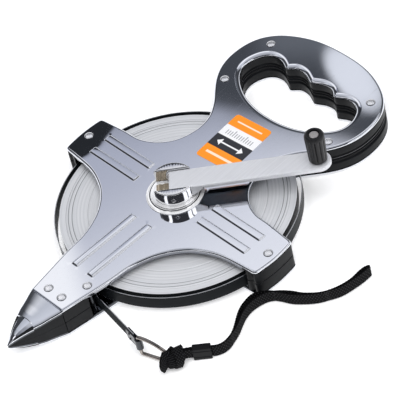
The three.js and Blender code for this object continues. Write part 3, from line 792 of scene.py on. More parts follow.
# Where the left arm starts to fall away, y for each x.
CAMBER_X = np.linspace(-40, 40, 321)
CAMBER_Y = relaxed(np.interp(CAMBER_X, [-24, -18, -12, -6, 0, 6, 12, 20],
                             [74, 72, 70.5, 70.5, 70.5, 72.5, 75, 78]), 60)


def on_plastic(points):
    """Where the outline runs over the plastic of the grip, the arms or the nose."""
    x, y = points.T
    arms = (np.abs(x) < 30) & (np.abs(y) > 80)
    nose = (x <= -84.2) & ~((y < -8) & (x > -97.8))
    return (np.hypot(x, y) > BORE - 0.5) & ((x > 66) | arms | nose)


def roll(distance, width, height):
    """Drop below the face at a distance from a rolled edge, and its slope there."""
    across = np.clip(1 - distance / width, 0, 0.999)
    level = np.sqrt(1 - across * across)
    return height * (1 - level), height / width * across / level


def rib_height(points):
    """Raised ribs with rounded corners, soft flanks and a slight crown."""
    total = np.zeros(len(points))
    corner = 0.8
    for x0, x1, y0, y1 in RIBS:
        half_x, half_y = (x1 - x0) / 2 - corner, (y1 - y0) / 2 - corner
        from_x = points[:, 0] - (x0 + x1) / 2
        from_y = points[:, 1] - (y0 + y1) / 2
        out_x, out_y = np.abs(from_x) - half_x, np.abs(from_y) - half_y
        distance = (np.hypot(np.maximum(out_x, 0), np.maximum(out_y, 0))
                    + np.minimum(np.maximum(out_x, out_y), 0) - corner)
        flank = np.clip((-distance + 0.1) / 1.2, 0, 1)
        if x1 - x0 > y1 - y0:
            across, crown = from_y / (half_y + corner), 0.09
        else:
            across, crown = from_x / (half_x + corner), 0.03
        total += (flank * flank * (3 - 2 * flank)
                  * (0.9 + crown * np.clip(1 - across ** 2, 0, 1)))
    return total


def camber(points):
    """The stamping falls away slightly towards the end of each arm."""
    x, y = points.T
    arm = np.abs(x) < 40
    left = np.clip((y - np.interp(x, CAMBER_X, CAMBER_Y)) / 20.0, 0, 1.4) * arm
    right = np.clip((-y - 87) / 8.0, 0, 1.2) * arm
    return -0.42 * left * left - 0.12 * right * right


def relief(points):
    return rib_height(points) + camber(points)


def face_height(points):
    """Height of the sheet above the level of the plate face."""
    z = relief(points)
    for loop, _, width, height in ROLLS:
        z -= roll(nearest(points, loop)[0], width, height)[0]
    return z


def rib_points(x0, x1, y0, y1):
    """Rows that follow the flanks of one rib, and a grid over its top."""
    lengthwise = x1 - x0 > y1 - y0
    xs = np.linspace(x0 + 1.6, x1 - 1.6, 36 if lengthwise else 6)
    ys = np.linspace(y0 + 1.6, y1 - 1.6, 6 if lengthwise else 32)
    groups = []
    for depth in (-0.14, 0.1, 0.35, 0.62, 0.88, 1.14):
        radius = max(0.3, 0.9 - depth)
        sides = (x0 + depth, x1 - depth, y0 + depth, y1 - depth)
        groups += [grid_points(xs, [y]) for y in sides[2:]]
        groups += [grid_points([x], ys) for x in sides[:2]]
        groups += [arc_points(radius, start + 10, start + 80, 3, cx, cy)
                   for cx, cy, start in corners(*sides, radius)]
    return groups + [grid_points(xs, ys)]


def field_points():
    """A coarse staggered grid over the plate, finer on the arms, clear of edges and ribs."""
    points = grid_points(np.arange(-116, 164, 3.0), np.arange(-94, 95, 3.0))
    points[:, 0] += 1.5 * (np.round(points[:, 1] / 3) % 2)
    points = points[inside(points, OUTLINE) & (nearest(points, OUTLINE)[0] > 2.6)]
    points = points[~inside(points, HOLE) & (nearest(points, HOLE)[0] > 4.6)]
    fine = grid_points(np.arange(-25.2, 25.3, 1.05), np.arange(63, 95, 1.05))
    for side in (1, -1):
        arm = fine * [1, side]
        arm = arm[inside(arm, OUTLINE) & (nearest(arm, OUTLINE)[0] > 2.2)]
        covered = (np.abs(points[:, 0]) < 26) & (points[:, 1] * side > 62)
        points = np.vstack([points[~covered], arm])
    x_gap = y_gap = 1.2
    for x0, x1, y0, y1 in RIBS:
        x, y = points.T
        points = points[~((x > x0 - x_gap) & (x < x1 + x_gap)
                          & (y > y0 - y_gap) & (y < y1 + y_gap))]
    return points


def plate_points():
    """Inner points of the plate face, close together where it curves."""
    groups = []
    outline_depths = (0.06, 0.2, 0.42, 0.72, 1.1, 1.5, 1.75)
    hole_depths = (0.1, 0.3, 0.6, 1.0, 1.5, 2.1, 2.8, 3.4, 3.75)
    for loop, side, depths in ((OUTLINE, 1, outline_depths), (HOLE, -1, hole_depths)):
        for depth in depths:
            ring = inset(loop, side * depth)
            groups.append(ring[nearest(ring, loop)[0] > depth * 0.97 - 0.01])
    for rib in RIBS:
        groups += rib_points(*rib)
    points = np.vstack(groups + [field_points()])
    points = points[inside(points, OUTLINE) & ~inside(points, HOLE)]
    # keep one point per small cell, so that none sit almost on one another
    cells = np.round(points / 0.09).astype(int)
    _, first = np.unique(cells, axis=0, return_index=True)
    return points[np.sort(first)]


PLATE_POINTS, PLATE_TRIANGLES = fill([OUTLINE, HOLE], plate_points())


def relief_normals(points, facing):
    """Exact normals of the shaped face, so that reflections in it stay smooth."""
    reach = 0.02
    tilt = -np.column_stack([(relief(points + way) - relief(points - way)) / (2 * reach)
                             for way in ([reach, 0], [0, reach])])
    for loop, side, width, height in ROLLS:
        distance, place = nearest(points, loop)
        outward = place - points
        length = np.linalg.norm(outward, axis=1)
        # points on the loop take the normal of its nearest vertex
        on_loop = length < 1e-4
        normals = loop_normals(loop) * side
        closest = ((points[on_loop][:, None] - loop[None]) ** 2).sum(2).argmin(1)
        outward[on_loop] = normals[closest]
        length[on_loop] = np.linalg.norm(normals[closest], axis=1)
        slope = roll(distance, width, height)[1]
        tilt += outward / length[:, None] * slope[:, None]
    normals = at_height(tilt, 1.0)
    normals /= np.linalg.norm(normals, axis=1, keepdims=True)
    normals[:, 2] *= facing
    return normals


def set_plate_normals(mesh, facing):
    """Gives the outer face its exact normals; walls and inner side keep their own."""
    vertex_of = np.empty(len(mesh.loops), int)
    mesh.loops.foreach_get("vertex_index", vertex_of)
    normals = np.empty(len(mesh.loops) * 3)
    mesh.corner_normals.foreach_get("vector", normals)
    normals = normals.reshape(-1, 3)
    exact = relief_normals(vertices_mm(mesh)[:, :2], facing)[vertex_of]
    for face in mesh.polygons:
        outside = facing * (face.center.z * 1000 - Z_MID) > Z_FRONT - Z_MID - SHEET_DEPTH
        if face.material_index == 0 and face.normal.z * facing > 0.05 and outside:
            corner_range = slice(face.loop_start, face.loop_start + face.loop_total)
            normals[corner_range] = exact[corner_range]
    mesh.normals_split_custom_set(normals.tolist())


def edge_wall(loop, side, top, foot, levels, inner_depth):
    """Wall of the sheet: down its outside, round a small foot and up its inside."""
    layers = [(0, top)]
    layers += [(0, top + (foot + 0.25 - top) * part) for part in levels]
    layers += [(0, foot + 0.25), (0.1, foot + 0.06), (0.3, foot), (0.75, foot),
               (0.95, foot + 0.12), (1.0, Z_FRONT - inner_depth)]
    return layered(loop, [(depth * side, z) for depth, z in layers])


def plate(facing, end):
    shape = Shape()
    z = Z_FRONT + face_height(PLATE_POINTS)
    shape.add(at_height(PLATE_POINTS, z), PLATE_TRIANGLES)
    outer = len(OUTLINE)
    top = z[:outer]
    foot = np.where(on_plastic(OUTLINE), Z_FRONT - SKIRT_SHORT, Z_FRONT - SKIRT_LONG)
    foot = np.convolve(np.concatenate([foot[-2:], foot, foot[:2]]), np.ones(5) / 5, "valid")
    foot = np.minimum(foot, top - 0.25)
    shape.tube(edge_wall(OUTLINE, 1, top, foot, (0.33, 0.66), SHEET_DEPTH), material=1)
    top = z[outer:outer + len(HOLE)]
    shape.tube(edge_wall(HOLE, -1, top, top - 0.3, (), HOLE_DEPTH), material=1)
    # inner side of the sheet
    points, triangles = fill([inset(OUTLINE, 1.0), inset(HOLE, -1.0)])
    depth = np.full(len(points), HOLE_DEPTH)
    depth[:outer] = SHEET_DEPTH
    shape.add(at_height(points, Z_FRONT - depth), triangles[:, ::-1])
    if facing < 0:
        shape.mirror_to_rear()
    # The sheet's walls take darker copies of the chrome: painted shade.
    shape.make(f"{end}_plate_shell", [CHROME, SHADED_WALLS if facing > 0 else SHADED_RIMS], "frame",
               f"{end}_plate", angle=50,
               finish=lambda mesh: set_plate_normals(mesh, facing))


for facing, end in ENDS:
    plate(facing, end)

# ------------------------------------------------------- plastic between them
# (inset, z) from the front face down to the parting plane.
SHOULDER = [(0.45, 23.05), (0.15, 22.8), (0.12, 22.2)]
TOP_LIP = [(2.4, 23.6), (1.5, 23.6), (1.35, 23.1)]
HANDLE_LAYERS = TOP_LIP + SHOULDER + [
    (0.12, 17.6), (0.3, 17.15), (0.75, 16.95), (1.25, 16.8), (1.35, 16.5), (1.35, 15.2),
    (1.2, 14.9), (0.75, 14.75), (0.55, 14.5), (0.55, 14.1), (0.75, 13.85), (1.2, 13.7),
    (1.35, 13.45), (1.35, 13.2), (1.6, 13.16)]
ARM_LAYERS = TOP_LIP + SHOULDER + [
    (0.12, 13.85), (0.2, 13.55), (0.45, 13.35), (0.55, 13.16)]
NOSE_LAYERS = [(1.35, 23.6), (1.35, 23.1)] + SHOULDER + [
    (0.12, 13.7), (0.2, 13.5), (0.5, 13.35), (0.6, 13.16)]
NOSE_CORNERS = [(-117.45, -15.5), (-97.8, -18.6), (-97.8, -8), (-90.5, -8), (-86.7, 16),
                (-84.5, 16.3), (-84.3, 20.7), (-117.45, 15.5)]
FLUTE_X, FLUTE_Y, FLUTE_R = 18.2, 88.4, 2.1


def sector(chosen):
    """Chosen part of the outline outside the bore, closed along the bore."""
    points = CURVE[chosen & (np.hypot(*CURVE.T) > BORE + 0.3)]
    (x0, y0), (x1, y1) = points[-1], points[0]
    start, end = math.atan2(y0, x0), math.atan2(y1, x1)
    count = int((start - end) * BORE / 2)
    return np.vstack([points, arc_points(BORE, math.degrees(start), math.degrees(end), count)])


def arm_loop(side):
    """Outline of an arm block, with a flute down each flank."""
    loop = sector((CURVE[:, 1] * side > 80) & (np.abs(CURVE[:, 0]) < 30))
    for flank in (-1, 1):
        centre = np.array([flank * FLUTE_X, side * FLUTE_Y])
        offset = loop - centre
        near = np.linalg.norm(offset, axis=1) < FLUTE_R + 0.2
        y = offset[near, 1]
        depth = np.sqrt(np.maximum(FLUTE_R ** 2 - np.clip(y, -FLUTE_R, FLUTE_R) ** 2, 0.3))
        loop[near] = centre + np.column_stack([-flank * depth, y])
    return loop


def block(name, node, loop, layers, glints, hole=None):
    """Front and rear plastic blocks; glints are the layers given a painted highlight edge in
    front.
    """
    for facing, end in ENDS:
        shape = Shape()
        rings = layered(loop, layers)
        for i in range(len(rings) - 1):
            shape.tube(rings[i:i + 2], material=int(facing > 0 and i in glints))
        if hole is not None:
            hole_rings = layered(hole, [(-depth, z) for depth, z in layers])
            shape.tube(hole_rings)
        for k in (0, -1):
            loops = [rings[k][:, :2]]
            if hole is not None:
                loops.append(hole_rings[k][:, :2])
            shape.level_face(loops, layers[k][1])
        if facing < 0:
            shape.mirror_to_rear()
        shape.make(f"{name}_{end}", [BLACK, GLINT], "frame", f"{node}_{end}",
                   angle=40)


block("handle_shell", "handle_housing", sector(CURVE[:, 0] > 60), HANDLE_LAYERS, (7, 14), HOLE)
for side, side_name in ((1, "left"), (-1, "right")):
    block(f"{side_name}_arm_shell", f"{side_name}_arm_block", arm_loop(side), ARM_LAYERS, (8,))
block("nose_shell", "nose_housing",
      np.array(subdivide(NOSE_CORNERS + NOSE_CORNERS[:1], 1.5, least=2)), NOSE_LAYERS, (7,))

# ------------------------------------------------------------------ nose tip
# (x, half width, top z) from the plates out to the point.
TIP = [(-117.8, 15.4, 25.2), (-121.5, 14.2, 24.7), (-126, 12.6, 24.1), (-132.7, 10.6, 23.3),
       (-139.4, 7.6, 22.2), (-144, 5.4, 21), (-147.4, 3.8, 19.7), (-150.6, 2.3, 18.1),
       (-153.4, 0.95, 15.8), (-154.8, 0.3, 14.2)]
TIP_X, TIP_WIDTH, TIP_TOP = np.array(TIP)[::-1].T
TIP_STATIONS = np.linspace(TIP_X[0], TIP_X[-1], 371)
SMOOTH_WIDTH = relaxed(np.interp(TIP_STATIONS, TIP_X, TIP_WIDTH), 60)
SMOOTH_TOP = relaxed(np.interp(TIP_STATIONS, TIP_X, TIP_TOP), 60)
TIP_END, TIP_ROOT = -154.75, -117.8
STEP_X, STEP_BOW, STEP_RUN = -135.4, 2.2, 0.35      # curved step that sets the point down
POINT_ROWS, ROOT_ROWS = 26, 30
# Edges between the flat panels of the point, as parts of the half width.
CREASES = np.sin(np.array([-0.62, -0.24, 0.14, 0.5, 0.8]) * PI / 2)


def tip_width(x):
    return np.interp(x, TIP_STATIONS, SMOOTH_WIDTH)


def tip_top(x):
    return np.interp(x, TIP_STATIONS, SMOOTH_TOP)


def tip_surface():
    """Grid of points over one cap, from the point to the plates."""
    rim = np.array([0.88, 0.92, 0.95, 0.975, 0.993, 1])
    across = np.unique(np.concatenate([-rim, np.linspace(-0.82, 0.82, 23), CREASES, rim]))
    step_x = STEP_X - STEP_BOW * across ** 2
    root_x = step_x + STEP_RUN
    x = np.array([TIP_END + (step_x - TIP_END) * (i / POINT_ROWS)
                  for i in range(POINT_ROWS + 1)]
                 + [root_x + (TIP_ROOT - root_x) * (i / (ROOT_ROWS - 1))
                    for i in range(ROOT_ROWS)])
    width = tip_width(x)
    drop, _ = roll(width * (1 - np.abs(across)), np.minimum(1.6, width * 0.5),
                   np.minimum(1.1, width * 0.4))
    z = tip_top(x) - drop - 0.5 * across ** 2 * np.minimum(1, width / 8)
    # the point is set down a step and cut in flat panels that meet at its end
    marks = np.concatenate([[-1], CREASES, [1]])
    panels = np.interp(across, marks, np.sqrt(1 - (marks * 0.97) ** 2))
    row = np.arange(len(x))[:, None]
    cut = (1.35 - 1.35 * panels) * np.minimum(1, width / 5) * (1 - 0.25 * row / POINT_ROWS)
    z -= np.where(row <= POINT_ROWS, (0.3 + cut) * np.minimum(row / 4, 1), 0)
    return np.stack([x, width * across, np.maximum(z, Z_MID + 0.25)], axis=2)


def sharpen_creases(mesh):
    x, y, _ = vertices_mm(mesh).T
    across = y / np.maximum(tip_width(x), 1e-3)
    near = (np.abs(across[:, None] - CREASES[None]) < 2e-3).any(1)
    creased = near & (x < STEP_X + 0.1 - STEP_BOW * across ** 2)
    for edge in mesh.edges:
        i, j = edge.vertices
        if creased[i] and creased[j] and abs(across[i] - across[j]) < 2e-3:
            edge.use_edge_sharp = True


def tip_cap(facing, end):
    """Chrome cap over one half of the tip."""
    shape = Shape()
    top = tip_surface()
    shape.grid(top)
    xs, edge_z = top[:, 0, 0], top[:, 0, 2]
    low = np.maximum(edge_z - 1.35, Z_MID + 0.12)
    half = tip_width(xs)
    foot = np.maximum(half - 0.7, 0.05)
    walls = []
    for column, side in ((0, -1), (-1, 1)):
        lines = [(side * half, (edge_z + low) / 2), (side * half, low), (side * foot, low)]
        walls.append(np.stack([top[:, column]]
                              + [np.column_stack([xs, y, z]) for y, z in lines], 1))
        shape.grid(walls[-1], material=1)
    right, left = walls
    shape.grid(np.stack([right[:, -1], left[:, -1]], 1))
    for i in (0, -1):
        shape.polygon(np.vstack([top[i], left[i, 1:], right[i, :0:-1]]))
    if facing < 0:
        shape.mirror_to_rear()
    # The cap's walls take the near-black chrome copy: painted shade.
    ob = shape.make(f"nose_tip_cap_{end}", [CHROME, SHADED_RIMS], "frame", f"nose_cap_{end}",
                    angle=28)
    sharpen_creases(ob.data)


def tip_core():
    """Black block between the two caps."""
    xs = np.concatenate([np.linspace(TIP_END, -137.5, 34)[3:], np.linspace(-137, -118.2, 26),
                         [-117.95, TIP_ROOT]])
    rings = []
    for x in xs:
        half = max(tip_width(x) - 0.12, 0.08)
        top = max(tip_top(x) - 0.9, Z_MID + 0.2)
        radius = min(0.5, half * 0.4)
        upper = [(radius - half, top), (radius * 0.3 - half, top - radius * 0.3),
                 (-half, top - radius), (-half, Z_MID + 0.12)]
        lower = [(y, 2 * Z_MID - z) for y, z in reversed(upper)]
        flank = upper + [(0.15 - half, Z_MID)] + lower
        ring = flank + [(-y, z) for y, z in reversed(flank)]
        rings.append([(x, y, z) for y, z in ring])
    shape = Shape()
    shape.tube(rings)
    for ring in (rings[0], rings[-1]):
        shape.polygon(ring)
    shape.make("nose_tip_block", [BLACK], "frame", "nose_tip_core")


for facing, end in ENDS:
    tip_cap(facing, end)
tip_core()

# ------------------------------------------------------- rivets and guide roller
DOME = fillet([(0, 25.95, 0), (2.0, 25.9, 1.2), (2.85, 25.66, 0.7), (3.3, 25.3, 0.12),
               (3.3, 25.06, 0.05), (2.6, 25.02, 0)], 4)
DOME_FOOT = [i for i, (radius, _) in enumerate(DOME) if radius > 2.92][0]
TAIL = fillet([(3.0, 1.05, 0), (3.0, 0.68, 0.25), (2.2, 0.02, 0.3), (0, 0.0, 0)], 3)


def rivet(node, centre, shank):
    """Domed head with a painted shadow line round its foot, a shank and a flat tail, set to
    the cambered plate.
    """
    drop = float(-camber(np.array([centre]))[0])
    head = [(radius, z - drop) for radius, z in DOME]
    tail = [(radius, z + drop) for radius, z in TAIL]
    shape = Shape()
    shape.lathe(head[:DOME_FOOT + 1], 40, centre)
    shape.lathe(head[DOME_FOOT:], 40, centre, material=1)
    shape.lathe([head[-1], (shank, 25.02 - drop), (shank, 1.07 + drop)] + tail, 40, centre)
    shape.make(node + "_dome", [RIVET, SHADOW_LINE], "frame", node,
               angle=40)


for node, centre, shank in RIVETS:
    rivet(node, centre, shank)
turned("guide_roller_sleeve", [DARK_STEEL], "guide_roller", "guide_roller",
       [(1.3, 2.7, 0), (2.1, 2.7, 0.2), (2.1, 23.6, 0.2), (1.3, 23.6, 0), (1.3, 2.7, 0)],
       steps=2, count=28, centre=ROLLER_AT)

# --------------------------------------------------------- bushes and crank head
# Profiles are (radius, z, corner radius).
FRONT_BUSH = [
    (4.35, 21.5, 0), (7.9, 21.5, 0.1), (7.9, 25.22, 0), (19.8, 25.22, 0.1), (19.75, 25.6, 0.2),
    (18.6, 26.15, 0.4), (17.5, 26.2, 0.15), (17.3, 25.85, 0.08), (16.95, 25.85, 0.08),
    (16.8, 26.45, 0.15), (4.35, 26.45, 0.1), (4.35, 21.5, 0)]
REAR_BUSH = [(0, 0, 0), (16, 0, 0.35), (16, 1.08, 0.1), (7.9, 1.08, 0), (7.9, 5.1, 0.1),
             (4.35, 5.1, 0.1), (4.35, 0.6, 0), (0, 0.6, 0)]
HEAD_FLANGE = [(0, 26.72, 0), (16.4, 26.72, 0.15), (16.45, 27.2, 0.3), (16.2, 27.5, 0.15),
               (15.35, 27.45, 0.1), (14.9, 27.42, 0.1), (0, 27.4, 0)]
HEAD_R = 15.0
# (inset, z) up each half of the slotted head.
HEAD_LAYERS = [
    (0.25, 27.3), (0.3, 27.9), (0.05, 28.2), (0, 28.6), (0, 32), (0, 36), (0, 38.5),
    (0.12, HUB_TOP - 0.35), (0.38, HUB_TOP - 0.1), (0.7, HUB_TOP)]
# (radius, distance along the pin) of its peened end and of the pin itself.
PEENED_END = [(0, 15.27), (0.9, 15.25), (1.35, 15.12), (1.5, 14.62)]
HINGE_PIN = [(0.01, -14.6), (1.3, -14.6), (1.5, -14.4), (1.5, -5),
             (1.5, 5), (1.5, 14.4), (1.3, 14.6), (0.01, 14.6)]


def front_bush():
    ob = turned("front_bush_flange", [CHROME_HARDWARE, PAINTED_LIGHT_TOPS, SHADOW_LINE], "frame",
                "front_bush", FRONT_BUSH, steps=3, count=128)
    # Painted shade in the groove near the flange edge; painted light on the upward faces.
    for face in ob.data.polygons:
        radius = math.hypot(face.center.x, face.center.y)
        if 0.01683 < radius < 0.01752 and face.center.z < 0.02618:
            face.material_index = 2
        elif face.normal.z > 0.8:
            face.material_index = 1


def hinge_rings(stations, side=1):
    """Rings about the hinge axis for (radius, y) stations, before the crank is turned."""
    return [np.insert(radius * circle(24) + [0, PIN_Z], 1, side * y, axis=1)
            for radius, y in stations]


def crank_head():
    """Round flange with two upright halves either side of the crank's slot."""
    shape = Shape()
    shape.lathe(fillet(HEAD_FLANGE, 3), 128)
    half_slot = SLOT_W / 2
    start = math.degrees(math.asin(half_slot / HEAD_R))
    for side in (1, -1):
        arc = arc_points(HEAD_R, start, 180 - start, 44) * [1, side]
        chord_x = np.linspace(arc[-1][0], arc[0][0], 16)[1:-1]
        loop = np.vstack([arc, grid_points(chord_x, [side * half_slot])])
        if side < 0:
            loop = loop[::-1]
        shape.loft(layered(loop, HEAD_LAYERS))
        shape.tube(hinge_rings(PEENED_END, side))
    shape.turn(CRANK_DIR)
    ob = shape.make("crank_head_body", [CHROME_HARDWARE, PAINTED_LIGHT_TOPS], "reel", "crank_head",
                    angle=40)
    # Upward faces take the paler chrome copy: painted light.
    for face in ob.data.polygons:
        if face.normal.z > 0.9:
            face.material_index = 1


def hinge_pin():
    shape = Shape()
    shape.tube(hinge_rings(HINGE_PIN))
    shape.turn(CRANK_DIR)
    shape.make("crank_hinge_pin_turned", [STEEL], "reel", "crank_hinge_pin", angle=40)


def detent_spring():
    """Thin bowed leaf with ripples near its -x end, lying along the crank."""
    x = np.linspace(-12.2, 12, 80)
    z = 27.59 + 0.4 * np.cos(x / 12.3 * PI / 2)
    for height, place, width in ((0.62, -9.9, 0.85), (0.35, -6.0, 1.3), (-0.25, -7.9, 0.6)):
        z += height * np.exp(-((x - place) / width) ** 2)
    shape = Shape()
    shape.sweep(np.column_stack([x, np.zeros_like(x), z]),
                rounded_rectangle(7, 0.13, radius=0.1, step=3.0, arc=2), up=(0, 0, 1))
    shape.turn(CRANK_DIR)
    shape.make("detent_leaf_spring_bowed", [BRASS], "reel", "detent_leaf_spring",
               angle=30)


front_bush()
turned("rear_bush_flange", [CHROME_HARDWARE], "frame", "rear_bush",
       REAR_BUSH, steps=3, count=96)
crank_head()
hinge_pin()
detent_spring()

# ------------------------------------------------------------- crank and knob
ARM_START, CHEEK_END = -2.4, 20.2       # ends of the arm and of its deep cheeks, along it
ARM_WALL, CHEEK_CHAMFER = 1.2, 0.12
CAM_R = 4.4
KNOB_PIN = [(0, 35.2, 0), (3.1, 35.2, 0.2), (3.1, 36.0, 0.2), (2.3, 36.65, 0.1),
            (1.6, 36.65, 0), (1.6, 61.0, 0), (3.25, 61.0, 0.1), (3.25, 61.75, 0.2),
            (2.9, 61.95, 0.2), (0, 61.98, 0)]
KNOB_WASHER = [(2.0, 38.15, 0), (5.0, 38.15, 0.12), (5.0, 38.65, 0.12), (2.0, 38.65, 0),
               (2.0, 38.15, 0)]
KNOB_BORE, KNOB_BASE, KNOB_SEAT = 2.1, 38.85, 60.7
KNOB_PROFILE = [
    (KNOB_BORE, KNOB_BASE, 0), (5.7, KNOB_BASE, 0.4), (6.2, 39.5, 0.4), (6.3, 40.6, 0),
    (6.85, 59.4, 0.6), (6.75, 60.6, 0.5), (6.25, 61.9, 0.6), (5.3, 62.55, 0.4),
    (4.1, 62.6, 0.12), (3.9, 62.3, 0.1), (3.9, KNOB_SEAT, 0), (KNOB_BORE, KNOB_SEAT, 0)]
KNOB_FLUTES, FLUTE_STEPS = 12, 20


def crank_cheeks(shape):
    """Deep cheeks of the arm, rounded about the hinge pin."""
    half, top = CRANK_W / 2, CRANK_TOP
    profile = np.vstack([
        [(-2.35, top - 0.95)],
        arc_points(CAM_R, 129.6, 270, 15, 0, PIN_Z),
        [(4, PIN_Z - 4.36), (8.5, PIN_Z - 4.2), (13, PIN_Z - 4.0), (16.5, PIN_Z - 1.5),
         (CHEEK_END, top - 3.4), (CHEEK_END, top - 0.95)]])
    stations = [(half - ARM_WALL, CHEEK_CHAMFER), (half - ARM_WALL + CHEEK_CHAMFER, 0),
                (half - CHEEK_CHAMFER, 0), (half, CHEEK_CHAMFER)]
    points, triangles = fill([inset(profile, CHEEK_CHAMFER)])
    for side in (1, -1):
        shape.tube([np.insert(inset(profile, depth), 1, side * y, axis=1)
                    for y, depth in stations])
        for y in (half - ARM_WALL, half):
            shape.add(np.insert(points, 1, side * y, axis=1), triangles)


def crank_arm():
    """Shallow tray, open below, with a round end under the knob."""
    half, top = CRANK_W / 2, CRANK_TOP
    xs = np.linspace(ARM_START, CRANK_LEN, 68)
    loop = np.vstack([
        grid_points(xs, [-half]),
        arc_points(half, -90, 90, 41, CRANK_LEN, 0)[1:-1],
        grid_points(np.linspace(CRANK_LEN, ARM_START, 68), [half]),
        grid_points([ARM_START], np.linspace(half, -half, 11)[1:-1])])
    foot = np.where(loop[:, 0] < CHEEK_END, top - 1.35, top - 3.4)
    outside = layered(loop, [
        (1.1, top), (0.75, top - 0.06), (0.42, top - 0.2), (0.18, top - 0.42),
        (0.04, top - 0.75), (0, top - 1.1), (0, foot + 0.1), (0.12, foot), (1.08, foot)])
    inner_top = top - ARM_WALL
    inner = layered(loop, [(ARM_WALL, np.minimum(foot + 0.12, inner_top)),
                           (ARM_WALL, inner_top)])
    shape = Shape()
    shape.tube(outside)
    # The inside of the tray takes the dark copy of the crank metal: painted shade.
    shape.tube(outside[-1:] + inner, material=1)
    shape.level_face([inset(loop, 1.1)], top)
    shape.level_face([inset(loop, ARM_WALL)], inner_top, material=1)
    crank_cheeks(shape)
    shape.turn(CRANK_DIR)
    shape.make("crank_arm_tray", [CRANK, CRANK_SHADED_INSIDE], "crank", "crank_arm",
               angle=40)


def knob():
    """Hollow knob with flutes down its side."""
    filleted = fillet(KNOB_PROFILE, 3)
    profile = np.array(subdivide(filleted, 1.0) + [filleted[-1]])
    count = KNOB_FLUTES * FLUTE_STEPS
    angles = np.linspace(0, 2 * PI, count, endpoint=False)[:, None]
    phase = (angles * KNOB_FLUTES / (2 * PI)) % 1
    groove = np.clip(1 - np.abs(phase - 0.5) / 0.17, 0, 1)
    groove = groove * groove * (3 - 2 * groove)
    land = 0.10 * np.cos(2 * PI * phase) - 0.10
    # the flutes fade out at both ends of the side
    radius, z = profile.T
    fade = np.clip((z - 40.3) / 1.2, 0, 1) * np.clip((60.5 - z) / 1.2, 0, 1)
    fade = fade * fade * (3 - 2 * fade) * (radius > 5.6)
    fluted = radius + fade * (-0.75 * groove + land * (1 - groove))
    shape = Shape()
    shape.grid(np.stack([KNOB_AT[0] + fluted * np.cos(angles),
                         KNOB_AT[1] + fluted * np.sin(angles),
                         np.broadcast_to(z, fluted.shape)], axis=2), close_u=True)
    shape.lathe([(KNOB_BORE, KNOB_SEAT), (KNOB_BORE, KNOB_BASE)], count, KNOB_AT)
    shape.make("knob_fluted", [KNOB], "knob", "knob", angle=50)


crank_arm()
turned("knob_pin_turned", [PIN_HEAD], "crank", "knob_pin", KNOB_PIN, steps=3,
       count=48, centre=KNOB_AT)
turned("knob_washer_flat", [STEEL], "crank", "knob_washer", KNOB_WASHER, steps=2,
       count=48, centre=KNOB_AT)
knob()

# ------------------------------------------------------------------ the tape
REEL_SEGMENTS = 220
SUNK_TURNS = (72.0, 74.5, 76.2, 61.2)
WRAP_T = 0.6
LEADER_AT = np.array([-90.5, -17.6])
LEADER_WAY = np.array([-0.1597, -0.9872])
# Distances along the leader from LEADER_AT: its two ends and the ring's wire.
LEADER_START, LEADER_END, RING_S = -33.0, 43.5, 48.2


def coil():
    """Wound tape, its edges slightly uneven from turn to turn."""
    inner = DRUM_R + 0.3
    radii = [inner]
    while radii[-1] < COIL_R - 0.5:
        radii.append(radii[-1] + 0.36 + 0.34 * rng.random())
    radii = np.array(radii + [COIL_R])
    sink = rng.normal(0, 0.006, len(radii))
    for radius in SUNK_TURNS:
        sink[np.abs(radii - radius).argmin()] -= 0.3
    sink = np.clip(sink, -0.35, 0.0)
    front = list(zip(radii, TAPE1 + sink))
    rear = list(zip(radii, TAPE0 - sink * 0.6))[::-1]
    start = (inner, TAPE0 + 0.05)
    shape = Shape()
    shape.lathe([start] + front, REEL_SEGMENTS)
    shape.lathe([front[-1], rear[0]], REEL_SEGMENTS, material=1)
    shape.lathe(rear + [start], REEL_SEGMENTS)
    shape.make("tape_coil_wound", [COIL, PAINT], "reel", "tape_coil", angle=60)


def outer_wrap():
    """Outermost turn: painted faces and bare edges."""
    inner, outer = WRAP_R - WRAP_T, WRAP_R
    near_inner, near_outer = WRAP_R - 0.52, WRAP_R - 0.08
    shape = Shape()
    for material, profile in (
            (1, [(inner, TAPE0 + 0.05), (inner, TAPE1 - 0.08)]),
            (0, [(inner, TAPE1 - 0.08), (near_inner, TAPE1), (near_outer, TAPE1),
                 (outer, TAPE1 - 0.08)]),
            (1, [(outer, TAPE1 - 0.08), (outer, 13), (outer, 10), (outer, TAPE0 + 0.08)]),
            (0, [(outer, TAPE0 + 0.08), (near_outer, TAPE0), (near_inner, TAPE0),
                 (inner, TAPE0 + 0.05)])):
        shape.lathe(profile, REEL_SEGMENTS, material=material)
    shape.make("tape_outer_wrap", [BLADE_EDGE, PAINT_TICKS], "reel", "tape_outer_turn",
               angle=60)


def on_leader(distance, side=0.0):
    across = np.array([-LEADER_WAY[1], LEADER_WAY[0]])
    return LEADER_AT + LEADER_WAY * distance + across * side


def leader():
    path = np.array([on_leader(distance)
                     for distance in np.linspace(LEADER_START, LEADER_END, 60)])
    shape = Shape()
    shape.sweep(at_height(path, (TAPE0 + TAPE1) / 2),
                rounded_rectangle(0.3, 5, radius=0.12, step=2.5, arc=2), up=(0, 0, 1),
                material=1)
    ob = shape.make("tape_leader_blade", [BLADE_EDGE, PAINT_DULL], "tape_end", "tape_leader",
                    angle=50)
    for face in ob.data.polygons:
        if abs(face.normal.z) > 0.5:
            face.material_index = 0


